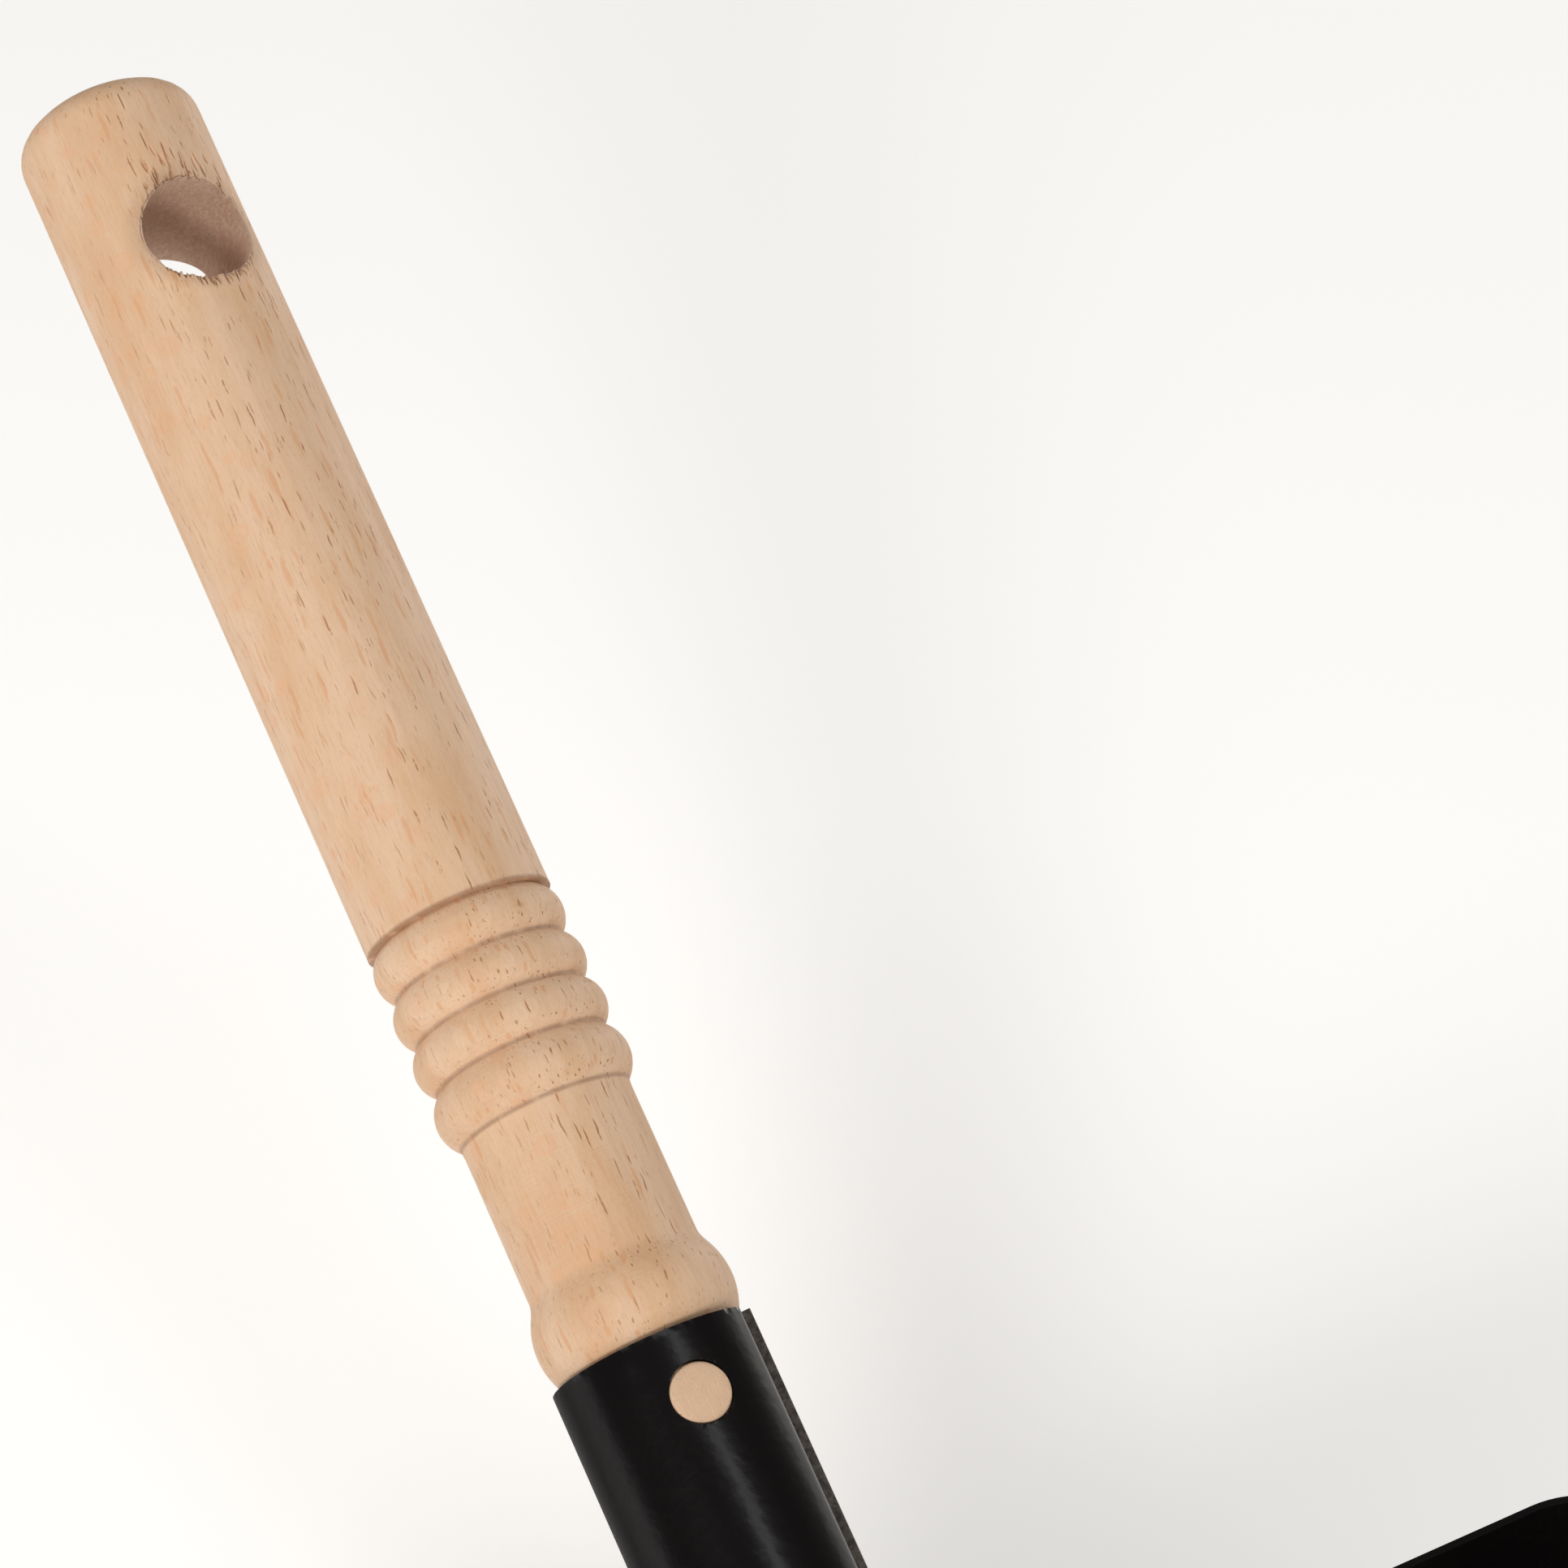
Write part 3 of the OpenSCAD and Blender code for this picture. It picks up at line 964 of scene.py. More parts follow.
@dataclass
class Handle:
    """Turned beech handle: tenon, collar, neck, beads, grip and domed end."""

    grip_r: float = 13.5
    tip: float = 199.0
    dome_r: float = 22.0
    edge_r: float = 5.0
    neck_r: float = 12.25
    groove_r: float = 12.35
    groove_root: float = 12.05
    bead_edges: tuple[float, ...] = (65.0, 57.8, 50.8, 43.7, 35.4)
    bead_tops: tuple[float, ...] = (13.85, 13.95, 14.05, 14.15)
    collar_r: float = 14.15
    collar_curve: float = 11.0
    collar_at: float = 5.6
    collar_fillet: float = 0.8
    tenon_r: float = 12.95
    tenon_len: float = 60.0
    tenon_chamfer: float = 2.0
    hang_r: float = 8.0
    hang_at: float = 170.5
    hang_turn: float = 7.0
    hang_lean: float = 3.7
    hang_off: float = 1.6
    wobble: float = 0.0016
    steps: int = 216

    def bore_frame(self, metres: bool = False) -> Matrix:
        """Return the hang hole's frame on the handle, its Z along the bore.

        Args:
            metres: Whether the place is wanted in metres.

        Returns:
            A matrix from the bore's frame to the handle's.
        """
        unit = MM if metres else 1.0
        turn = Matrix.Rotation(math.radians(self.hang_turn), 4, "Z")
        shift = Matrix.Translation((0.0, self.hang_off * unit, self.hang_at * unit))
        return turn @ shift @ Matrix.Rotation(math.radians(90.0 + self.hang_lean), 4, "Y")

    def radius(self, along: float) -> float:
        """Return the turned radius at a distance from the rim.

        Args:
            along: The distance, positive towards the tip.

        Returns:
            The radius there.
        """
        if along < 0.0:
            return self.tenon_r - max(0.0, self.tenon_chamfer - self.tenon_len - along)
        rise = self.collar_curve**2 - (along - self.collar_at) ** 2
        collar = self.collar_r - self.collar_curve + math.sqrt(rise) if rise > 0.0 else 0.0
        if along < self.bead_edges[-1]:
            share = min(max(0.5 + (collar - self.neck_r) / (2.0 * self.collar_fillet), 0.0), 1.0)
            blend = self.neck_r + (collar - self.neck_r) * share
            return blend + self.collar_fillet * share * (1.0 - share)
        if along < self.bead_edges[0]:
            return self.bead_radius(along)
        return min(self.grip_r, self.end_radius(along))

    def bead_radius(self, along: float) -> float:
        """Return the radius between the first and the last groove.

        Args:
            along: The distance from the rim.

        Returns:
            The radius there.
        """
        for high, low, top in zip(self.bead_edges, self.bead_edges[1:], self.bead_tops):
            if low <= along <= high:
                half = (high - low) / 2.0
                rise = top - self.groove_root
                curve = (half * half + rise * rise) / (2.0 * rise)
                offset = along - low - half
                return max(self.groove_r, top - curve + math.sqrt(curve**2 - offset**2))
        return self.groove_r

    def end_radius(self, along: float) -> float:
        """Return the radius that the domed end and its edge leave.

        Args:
            along: The distance from the rim.

        Returns:
            The radius there.
        """
        dome_at = self.tip - self.dome_r
        shoulder = self.grip_r - self.edge_r
        edge_at = dome_at + math.sqrt((self.dome_r - self.edge_r) ** 2 - shoulder**2)
        if along <= edge_at:
            return self.grip_r
        joins = math.atan2(shoulder, edge_at - dome_at)
        if along < edge_at + self.edge_r * math.cos(joins):
            return shoulder + math.sqrt(self.edge_r**2 - (along - edge_at) ** 2)
        return math.sqrt(max(0.0, self.dome_r**2 - (along - dome_at) ** 2))

    def stations(self) -> list[float]:
        """List the distances at which the outline gets a point.

        Returns:
            The distances from the rim, from the tenon's end to the tip.
        """
        tenon = [-self.tenon_len, self.tenon_chamfer - self.tenon_len, -40.0, -20.0, -4.0, -0.02]
        collar = [0.3 * k for k in range(45)]
        neck = [14.0 + 1.2 * k for k in range(18)]
        beads = [self.bead_edges[-1] + 0.185 * k for k in range(161)]
        grip = [66.0 + 1.5 * k for k in range(83)]
        finish = 18
        end = [self.tip - 9.0 * (1.0 - math.sin(math.pi / 2.0 * k / finish)) ** 1.4 for k in range(finish)]
        return tenon + collar + neck + beads + grip + end

    def relieved(self, spot: Vector, lap: "Socket") -> float:
        """Find how far the tenon is pared down to clear the socket's lap.

        Args:
            spot: A place on the handle's skin.
            lap: The socket.

        Returns:
            The share of the radius that is left there.
        """
        azimuth = math.atan2(spot.y, spot.x)
        if spot.z > -0.01 or not 0.0 < azimuth < math.radians(lap.lap_at + lap.lap_over + 2.0):
            return 1.0
        inner = lap.lap_radius(azimuth) - lap.thickness - 0.6
        return min(1.0, inner / max(spot.xy.length, 1e-6))

    def turned(self, lap: "Socket") -> BMesh:
        """Turn the handle, without its hole.

        Args:
            lap: The socket, whose lap the tenon makes room for.

        Returns:
            The bmesh, in millimetres on the handle.
        """
        spots = [Vector((0.0, 0.0, -self.tenon_len))]
        spots += [Vector((self.radius(along), 0.0, along)) for along in self.stations()]
        mesh = lathe(spots + [Vector((0.0, 0.0, self.tip))], self.steps)
        for vert in mesh.verts:
            place = Vector((vert.co.x, vert.co.y, vert.co.z * 0.25)) * 0.16
            wobble = 1.0 + self.wobble * noise.noise(place)
            vert.co.xy = vert.co.xy * wobble * self.relieved(vert.co, lap)
        bmesh.ops.recalc_face_normals(mesh, faces=mesh.faces)
        return mesh

    def rim_point(self, across: float, side: int) -> tuple[Vector, Vector]:
        """Find a place on the hang hole's upper rim.

        Args:
            across: Offset from the bore's middle, to the right.
            side: 1 for the side of the tip, -1 for the side of the pan.

        Returns:
            The place, and the direction out of the wood there.
        """
        turn = Matrix.Rotation(math.radians(self.hang_turn), 3, "Z")
        sideways = across + self.hang_off
        lift = math.sqrt(self.grip_r**2 - sideways**2)
        middle = self.hang_at - lift * math.tan(math.radians(self.hang_lean))
        along = middle + side * math.sqrt(max(0.0, self.hang_r**2 - across**2))
        out = turn @ Vector((lift, sideways, 0.0))
        return out + Vector((0.0, 0.0, along)), out.normalized()

    def bites(self, seed: int = 5) -> BMesh:
        """Make the slivers that the drill tore out of the rim.

        Args:
            seed: Start of the random draw.

        Returns:
            Overlapping slivers, in millimetres on the handle.
        """
        draw = random.Random(seed)
        mesh = bmesh.new()
        for side, count in ((1, 50), (-1, 62)):
            for _ in range(count):
                spot, out = self.rim_point(draw.uniform(-7.4, 7.4), side)
                length = draw.uniform(0.6, 1.7)
                away = draw.uniform(-0.3, 0.4) * length
                deep = draw.uniform(0.35, 0.85)
                if side > 0 and draw.random() < 0.45:
                    away = draw.uniform(0.6, 5.5)
                    deep = draw.uniform(0.30, 0.60)
                made = bmesh.ops.create_icosphere(mesh, subdivisions=1, radius=1.0)["verts"]
                size = Matrix.Diagonal((deep, draw.uniform(0.12, 0.40), length, 1.0))
                swing = math.atan2(out.y, out.x)
                turn = Matrix.Rotation(swing, 4, "Z") @ Matrix.Rotation(draw.uniform(-0.12, 0.12), 4, "X")
                spot = spot + Vector((0.0, 0.0, side * away))
                bmesh.ops.transform(mesh, matrix=Matrix.Translation(spot) @ turn @ size, verts=made)
        return mesh

    def fibres(self, seed: int = 11) -> BMesh:
        """Make the loose fibres that stand at the hole's rim.

        Args:
            seed: Start of the random draw.

        Returns:
            The fibres, in millimetres on the handle.
        """
        draw = random.Random(seed)
        mesh = bmesh.new()
        for side, count in ((1, 58), (-1, 34)):
            for _ in range(count):
                spot, out = self.rim_point(draw.uniform(-6.8, 6.8), side)
                length = draw.uniform(0.9, 2.8) if side > 0 else draw.uniform(0.5, 1.3)
                back = draw.uniform(0.1, 4.8) if side > 0 else draw.uniform(-0.1, 0.5)
                curl = draw.uniform(0.25, 0.85) * length * 0.45
                width = draw.uniform(0.10, 0.30)
                made = bmesh.ops.create_cone(
                    mesh, cap_ends=True, segments=5, radius1=width, radius2=width * 0.25, depth=length
                )["verts"]
                spine = [edge for edge in mesh.edges if edge.verts[0] in made and edge.verts[1] in made]
                long_ones = [edge for edge in spine if abs(edge.verts[0].co.z - edge.verts[1].co.z) > 0.1]
                bmesh.ops.subdivide_edges(mesh, edges=long_ones, cuts=3)
                fresh = [vert for vert in mesh.verts if vert.index == -1 or vert in made]
                for vert in fresh:
                    share = vert.co.z / length + 0.5
                    vert.co.x += curl * share * share
                swing = Matrix.Rotation(math.atan2(out.y, out.x), 4, "Z")
                aim = Matrix.Rotation(math.pi if side > 0 else 0.0, 4, "X")
                lean = Matrix.Rotation(draw.uniform(-0.45, 0.45), 4, "X")
                root = spot + out * 0.02 + Vector((0.0, 0.0, side * back))
                place = Matrix.Translation(root) @ swing @ lean @ aim
                bmesh.ops.transform(mesh, matrix=place, verts=fresh)
                mesh.verts.index_update()
        bmesh.ops.recalc_face_normals(mesh, faces=mesh.faces)
        return mesh

    def build(self, shop: Workshop, axis: HandleAxis, lap: "Socket") -> None:
        """Make the handle and the loose fibres at its hole.

        Args:
            shop: Where pieces are finished.
            axis: The handle's place in the frame.
            lap: The socket round the tenon.
        """
        material = HandleFinish().build(axis, self)
        piece = shop.mesh_object(self.turned(lap), "handle_turned", axis.place)
        hole = drill(self.hang_r, 128, self.bore_frame())
        shop.cut(piece, shop.mesh_object(hole, "bore_cutter", axis.place))
        shop.cut(piece, shop.mesh_object(self.bites(), "rim_cutter", axis.place), tangled=True)
        shop.finish(piece, material, Slot.HANDLE, ["handle"], smooth=42.0)
        loose = shop.mesh_object(self.fibres(), "hang_hole_fibres", axis.place)
        shop.finish(loose, material, Slot.HANDLE, [], smooth=60.0)


@dataclass
class Peg:
    """Beech cross peg, its ends sanded nearly flush with the socket."""

    radius: float = 4.15
    length: float = 28.0
    at: float = 9.3

    def build(self, shop: Workshop, axis: HandleAxis) -> None:
        """Make the peg.

        Args:
            shop: Where pieces are finished.
            axis: The handle's place in the frame.
        """
        mesh = bmesh.new()
        half = self.length / 2.0
        ends = bmesh.ops.create_circle(mesh, cap_ends=True, segments=64, radius=self.radius)["verts"]
        bmesh.ops.translate(mesh, vec=(0, 0, -half), verts=ends)
        bottom = list(mesh.faces)
        top = bmesh.ops.extrude_face_region(mesh, geom=bottom)
        lifted = [item for item in top["geom"] if isinstance(item, BMVert)]
        bmesh.ops.translate(mesh, vec=(0, 0, self.length), verts=lifted)
        rims = [edge for edge in mesh.edges if abs(edge.verts[0].co.z - edge.verts[1].co.z) < 0.1]
        bmesh.ops.bevel(
            mesh, geom=rims, offset=0.35, segments=3, profile=0.5, affect="EDGES", material=-1
        )
        caps = [face for face in mesh.faces if len(face.verts) > 8]
        for _ in range(4):
            bmesh.ops.inset_region(mesh, faces=caps, thickness=0.7, depth=0.0)
            caps = [face for face in mesh.faces if len(face.verts) > 8]
        for vert in mesh.verts:
            share = vert.co.xy.length / self.radius
            vert.co.z *= 1.0 - 0.012 * share * share
        bmesh.ops.recalc_face_normals(mesh, faces=mesh.faces)
        piece = shop.mesh_object(mesh, "cross_peg_end_grain", axis.place @ across_handle(self.at))
        shop.finish(piece, PegFinish().build(axis), Slot.PEG, ["cross_peg"], smooth=40.0)


@dataclass
class Socket:
    """Rolled sheet socket, its inner edge tucked under its outer one."""

    radius: float = 14.35
    thickness: float = 1.2
    lap_at: float = 68.0
    lap_over: float = 24.0
    joggle: tuple[float, float] = (46.0, 66.0)
    tuck: float = 1.35
    length: float = 96.0
    peg_hole_r: float = 4.3
    peg_at: float = 9.3
    rows: int = 96
    spring: float = 0.22
    spring_reach: float = 11.0
    press: float = 0.22
    press_reach: float = 6.0
    run: float = 0.14
    run_reach: float = 1.3
    run_at: tuple[float, float] = (-0.53, -2.0)

    def lap_radius(self, azimuth: float) -> float:
        """Return the outer radius of the joggled stretch at an azimuth in radians."""
        return self.radius - self.tuck * smooth_step(*self.joggle, math.degrees(azimuth))

    def sheet(self) -> BMesh:
        """Roll the sheet's outer face.

        Returns:
            The bmesh, in millimetres on the handle.
        """
        mesh = bmesh.new()
        start = math.radians(self.lap_at)
        x = self.radius * math.cos(start)
        y = self.radius * math.sin(start)
        line = draw_line(mesh, [(x, y, -self.length * k / self.rows) for k in range(self.rows + 1)])
        line = spin_about_z(mesh, line, math.tau - start, 146)
        before = set(mesh.verts)
        spin_about_z(mesh, line, math.radians(self.lap_at + self.lap_over), 56)
        for vert in mesh.verts:
            if vert not in before:
                self.tuck_under(vert)
        for vert in mesh.verts:
            self.dent(vert)
        return mesh

    def tuck_under(self, vert: BMVert) -> None:
        """Joggle the sheet under its outer edge, with a gap that opens at the rim.

        Args:
            vert: The vert to move.
        """
        azimuth = math.atan2(vert.co.y, vert.co.x)
        near_rim = smooth_step(-self.spring_reach, 1.0, vert.co.z)
        spring = smooth_step(*self.joggle, math.degrees(azimuth)) * near_rim
        vert.co.xy *= (self.lap_radius(azimuth) - self.spring * spring) / self.radius

    def dent(self, vert: BMVert) -> None:
        """Press the sheet in a little round the peg's hole, and add a paint run.

        Args:
            vert: The vert to move.
        """
        azimuth = math.atan2(vert.co.y, vert.co.x)
        reach = math.hypot(azimuth * self.radius, vert.co.z + self.peg_at)
        near_hole = math.exp(-((reach / self.press_reach) ** 2)) if abs(azimuth) < 1.2 else 0.0
        run = math.hypot((azimuth - self.run_at[0]) * self.radius, vert.co.z - self.run_at[1])
        near_run = math.exp(-((run / self.run_reach) ** 2))
        vert.co.xy *= 1.0 + (self.run * near_run - self.press * near_hole) / self.radius

    def build(self, shop: Workshop, axis: HandleAxis, paint: Material) -> None:
        """Make the socket.

        Args:
            shop: Where pieces are finished.
            axis: The handle's place in the frame.
            paint: The black paint.
        """
        mesh = self.sheet()
        bmesh.ops.transform(mesh, matrix=axis.place, verts=mesh.verts)
        trim_front(mesh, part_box("socket_plate")[1].y)
        bmesh.ops.recalc_face_normals(mesh, faces=mesh.faces)
        self.face_out(mesh, axis)
        piece = shop.mesh_object(mesh, "socket_rolled", Matrix.Identity(4))
        shop.thicken(piece, self.thickness)
        place = axis.place @ across_handle(self.peg_at)
        shop.cut(piece, shop.mesh_object(drill(self.peg_hole_r, 96), "peg_cutter", place))
        shop.round_edges(piece, 0.5, 4)
        shop.finish(piece, paint, Slot.SOCKET, ["socket"], smooth=40.0)

    def face_out(self, mesh: BMesh, axis: HandleAxis) -> None:
        """Turn all faces so that they look away from the handle's axis.

        Args:
            mesh: The bmesh, in the frame's metres.
            axis: The handle's place in the frame.
        """
        back = axis.place.inverted()
        votes = 0.0
        for face in mesh.faces:
            spot = back @ face.calc_center_median()
            out = axis.turn.to_3x3() @ Vector((spot.x, spot.y, 0.0))
            votes += face.normal.dot(out)
        if votes < 0.0:
            bmesh.ops.reverse_faces(mesh, faces=mesh.faces)


@dataclass
class Weld:
    """Rippled fillet weld round the socket's foot."""

    bead: float = 2.05
    stand_off: float = 0.15
    ripples: int = 46
    ripple: float = 0.055
    waver: float = 0.07
    steps: int = 276

    def build(
        self, shop: Workshop, axis: HandleAxis, socket: Socket, paint: Material
    ) -> None:
        """Make the weld.

        Args:
            shop: Where pieces are finished.
            axis: The handle's place in the frame.
            socket: The socket that it goes round.
            paint: The black paint.
        """
        mesh = bmesh.new()
        ring = bmesh.ops.create_circle(mesh, segments=20, radius=self.bead)["verts"]
        core_r = socket.radius + self.stand_off
        upright = Matrix.Translation((core_r, 0.0, 0.0)) @ Matrix.Rotation(math.pi / 2.0, 4, "X")
        bmesh.ops.transform(mesh, matrix=upright, verts=ring)
        spin_about_z(mesh, ring + list(mesh.edges), math.tau, self.steps, closed=True)
        tip = axis.turn.to_3x3() @ Vector((0.0, 0.0, 1.0))
        top = axis.turn.to_3x3() @ Vector((1.0, 0.0, 0.0))
        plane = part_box("socket_plate")[1].y
        start = (plane - axis.turn.translation.y) / (tip.y * MM)
        slant = -top.y / tip.y
        for vert in mesh.verts:
            azimuth = math.atan2(vert.co.y, vert.co.x)
            core = Vector((math.cos(azimuth), math.sin(azimuth), 0.0)) * core_r
            waver = self.waver * noise.noise(core * 0.35)
            swell = 1.0 + self.ripple * math.sin(azimuth * self.ripples) + waver
            vert.co = core + (vert.co - core) * swell
            vert.co.z += start + slant * vert.co.x
        bmesh.ops.transform(mesh, matrix=axis.place, verts=mesh.verts)
        trim_front(mesh, plane)
        rims = [edge for edge in mesh.edges if edge.is_boundary]
        bmesh.ops.bridge_loops(mesh, edges=rims)
        bmesh.ops.recalc_face_normals(mesh, faces=mesh.faces)
        piece = shop.mesh_object(mesh, "socket_weld_bead", Matrix.Identity(4))
        shop.finish(piece, paint, Slot.WELD, ["socket_weld"], smooth=50.0)


@dataclass
class Plate:
    """Plate behind the wall, with rounded corners."""

    corner: float = 9.0

    def build(self, shop: Workshop, paint: Material) -> None:
        """Make the plate.

        Args:
            shop: Where pieces are finished.
            paint: The black paint.
        """
        low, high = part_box("socket_plate")
        mesh = bmesh.new()
        bmesh.ops.create_cube(mesh, size=1.0)
        size = high - low
        place = Matrix.Translation((low + high) / 2.0) @ Matrix.Diagonal((*size, 1.0))
        bmesh.ops.transform(mesh, matrix=place, verts=mesh.verts)
        half = size.y / 2.0
        through = [edge for edge in mesh.edges if abs(edge.verts[0].co.y - edge.verts[1].co.y) > half]
        bmesh.ops.bevel(
            mesh, geom=through, offset=self.corner * MM, segments=14, profile=0.5,
            affect="EDGES", material=-1,
        )
        piece = shop.mesh_object(mesh, "socket_plate_pressed", Matrix.Identity(4))
        shop.round_edges(piece, 0.5, 4)
        shop.finish(piece, paint, Slot.PAN, ["socket_plate"], smooth=40.0)


@dataclass
class Pan:
    """Wall band and floor tray, and the outline that they share."""

    corner_x: float = 95.5
    corner_r: float = 16.0
    flare: float = 4.0
    wall_h: float = 72.0
    sheet: float = 1.0
    flange_h: float = 13.0
    flange_r: float = 8.0
    lip_r: float = 12.0
    shoulder_y: float = 30.0
    shoulder_r: float = 34.0
    nose_y: float = 28.0
    nose_r: float = 17.0
    nose_z: float = 5.0
    rib_count: int = 5
    rib_pitch: float = 38.0
    rib_h: float = 2.0
    rib_half: float = 5.0
    rib_front: float = 42.0
    rib_rear: float = 44.0
    bend: float = 2.0
    rear_steps: int = 44
    corner_steps: int = 18
    side_step: float = 4.0
    wall_y: float = field(init=False)
    lip_y: float = field(init=False)

    def __post_init__(self) -> None:
        """Read the pan's lengthways place from the frame."""
        self.wall_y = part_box("wall_band")[1].y / MM
        self.lip_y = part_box("floor_tray")[0].y / MM

    @property
    def corner_y(self) -> float:
        """Lengthways place of the rear corners' centres."""
        return self.wall_y - self.corner_r

    def half_width(self, inset: float, y: float) -> float:
        """Return half the pan's width.

        Args:
            inset: How far inside the wall's outer face.
            y: The lengthways place.

        Returns:
            The half width there.
        """
        turn = math.radians(self.flare)
        return self.corner_x + (
            self.corner_r - inset - (y - self.corner_y) * math.sin(turn)
        ) / math.cos(turn)

    def wall_top(self, y: float) -> float:
        """Return the height of the wall's edge.

        Args:
            y: The lengthways place.

        Returns:
            The height there.
        """
        back = Vector((self.wall_y - self.shoulder_y, self.wall_h - self.shoulder_r))
        front = Vector((self.lip_y + self.nose_y, self.nose_z))
        run = back - front
        slope = math.atan2(run.y, run.x) + math.asin((self.shoulder_r - self.nose_r) / run.length)
        up = Vector((-math.sin(slope), math.cos(slope)))
        start = back + up * self.shoulder_r
        end = front + up * self.nose_r
        if y >= back.x:
            return self.wall_h
        if y >= start.x:
            return back.y + math.sqrt(self.shoulder_r**2 - (y - back.x) ** 2)
        if y >= end.x:
            return end.y + (y - end.x) * math.tan(slope)
        return front.y + math.sqrt(max(0.0, self.nose_r**2 - (y - front.x) ** 2))

    def sweep(self, mesh: BMesh, line: list, runs: Sequence[float]) -> None:
        """Sweep a line of verts round the pan, from its left front to its right.

        Args:
            mesh: The bmesh that holds the line.
            line: The line's verts and edges.
            runs: Lengths of the steps along a side, from the front.
        """
        turn = math.radians(self.flare)
        bend = math.radians(90.0 - self.flare)
        forth = Vector((math.sin(turn), math.cos(turn), 0.0))
        for step in runs:
            line = self.carry(mesh, line, forth * step)
        line = self.corner(mesh, line, -self.corner_x, bend)
        stride = Vector((2.0 * self.corner_x / self.rear_steps, 0.0, 0.0))
        for _ in range(self.rear_steps):
            line = self.carry(mesh, line, stride)
        line = self.corner(mesh, line, self.corner_x, bend)
        back = Vector((math.sin(turn), -math.cos(turn), 0.0))
        for step in reversed(runs):
            line = self.carry(mesh, line, back * step)

    def carry(self, mesh: BMesh, line: list, by: Vector) -> list:
        """Extrude a line straight on.

        Args:
            mesh: The bmesh that holds it.
            line: Its verts and edges.
            by: How far, and which way.

        Returns:
            The new line.
        """
        made = bmesh.ops.spin(
            mesh, geom=line, cent=(0, 0, 0), axis=(0, 0, 1), dvec=by, angle=0.0, steps=1
        )
        return made["geom_last"]

    def corner(self, mesh: BMesh, line: list, x: float, angle: float) -> list:
        """Extrude a line round a rear corner.

        Args:
            mesh: The bmesh that holds it.
            line: Its verts and edges.
            x: The corner's sideways place.
            angle: How far round, in radians.

        Returns:
            The new line.
        """
        made = bmesh.ops.spin(
            mesh, geom=line, cent=(x, self.corner_y, 0.0), axis=(0, 0, -1), angle=angle,
            steps=self.corner_steps,
        )
        return made["geom_last"]

    def side_runs(self, front: float, inset: float, round_r: float, arc: int) -> list[float]:
        """Return the steps along a side, close together over its round front.

        Args:
            front: Where the side starts.
            inset: How far inside the wall's outer face it runs.
            round_r: Radius of the round front.
            arc: Number of steps over that radius.

        Returns:
            The lengths of the steps, as far as the rear corner.
        """
        turn = math.radians(self.flare)
        end = self.corner_y + (self.corner_r - inset) * math.sin(turn)
        stops = [front + round_r * (1.0 - math.cos(math.pi / 2.0 * k / arc)) for k in range(arc + 1)]
        first = stops[-1]
        count = round((end - first) / self.side_step)
        stops += [first + (end - first) * (k + 1) / count for k in range(count)]
        return [(b - a) / math.cos(turn) for a, b in zip(stops, stops[1:])]

    def build_band(self, shop: Workshop, paint: Material) -> None:
        """Make the back wall and sides, bent from one strip.

        Args:
            shop: Where pieces are finished.
            paint: The black paint.
        """
        mesh = bmesh.new()
        front = self.lip_y + self.nose_y - self.nose_r
        rows = 16
        x = -self.half_width(0.0, front)
        line = draw_line(mesh, [(x, front, k / rows) for k in range(rows + 1)])
        self.sweep(mesh, line, self.side_runs(front, 0.0, self.nose_r, 14))
        bmesh.ops.remove_doubles(mesh, verts=mesh.verts, dist=0.0001)
        for vert in mesh.verts:
            top = self.wall_top(vert.co.y)
            vert.co.z = self.sheet + vert.co.z * (top - self.sheet)
        self.dress(shop, mesh, "wall_band_bent", "wall_band", paint)

    def dress(
        self, shop: Workshop, mesh: BMesh, name: str, node: str, paint: Material
    ) -> None:
        """Give a swept sheet its thickness and rounded edges, and finish it.

        Args:
            shop: Where pieces are finished.
            mesh: The sheet's outer face.
            name: The piece's name.
            node: The node that it stands for.
            paint: The black paint.
        """
        bmesh.ops.recalc_face_normals(mesh, faces=mesh.faces)
        rear = max(mesh.faces, key=lambda face: face.calc_center_median().y)
        if rear.normal.y < 0.0:
            bmesh.ops.reverse_faces(mesh, faces=mesh.faces)
        piece = shop.mesh_object(mesh, name, Matrix.Scale(MM, 4))
        shop.thicken(piece, self.sheet)
        shop.round_edges(piece, 0.3, 3, 50.0)
        shop.finish(piece, paint, Slot.PAN, [node], smooth=35.0)

    def flange_line(self, mesh: BMesh, x: float, y: float) -> list:
        """Draw the turned-up edge's section, from its top to the floor.

        Args:
            mesh: The bmesh that gets it.
            x: Its sideways place.
            y: Its lengthways place.

        Returns:
            The section's verts and edges.
        """
        turn = math.radians(self.flare)
        inward = Vector((math.cos(turn), math.sin(turn), 0.0))
        rise = self.flange_h - self.bend
        spots = [Vector((x, y, self.bend + (1.0 - k / 4.0) * rise)) for k in range(5)]
        steps = 6
        for k in range(1, steps + 1):
            angle = math.pi / 2.0 * k / steps
            lift = self.bend * (1.0 - math.sin(angle))
            spots.append(Vector((x, y, lift)) + inward * (self.bend * (1.0 - math.cos(angle))))
        return draw_line(mesh, spots)

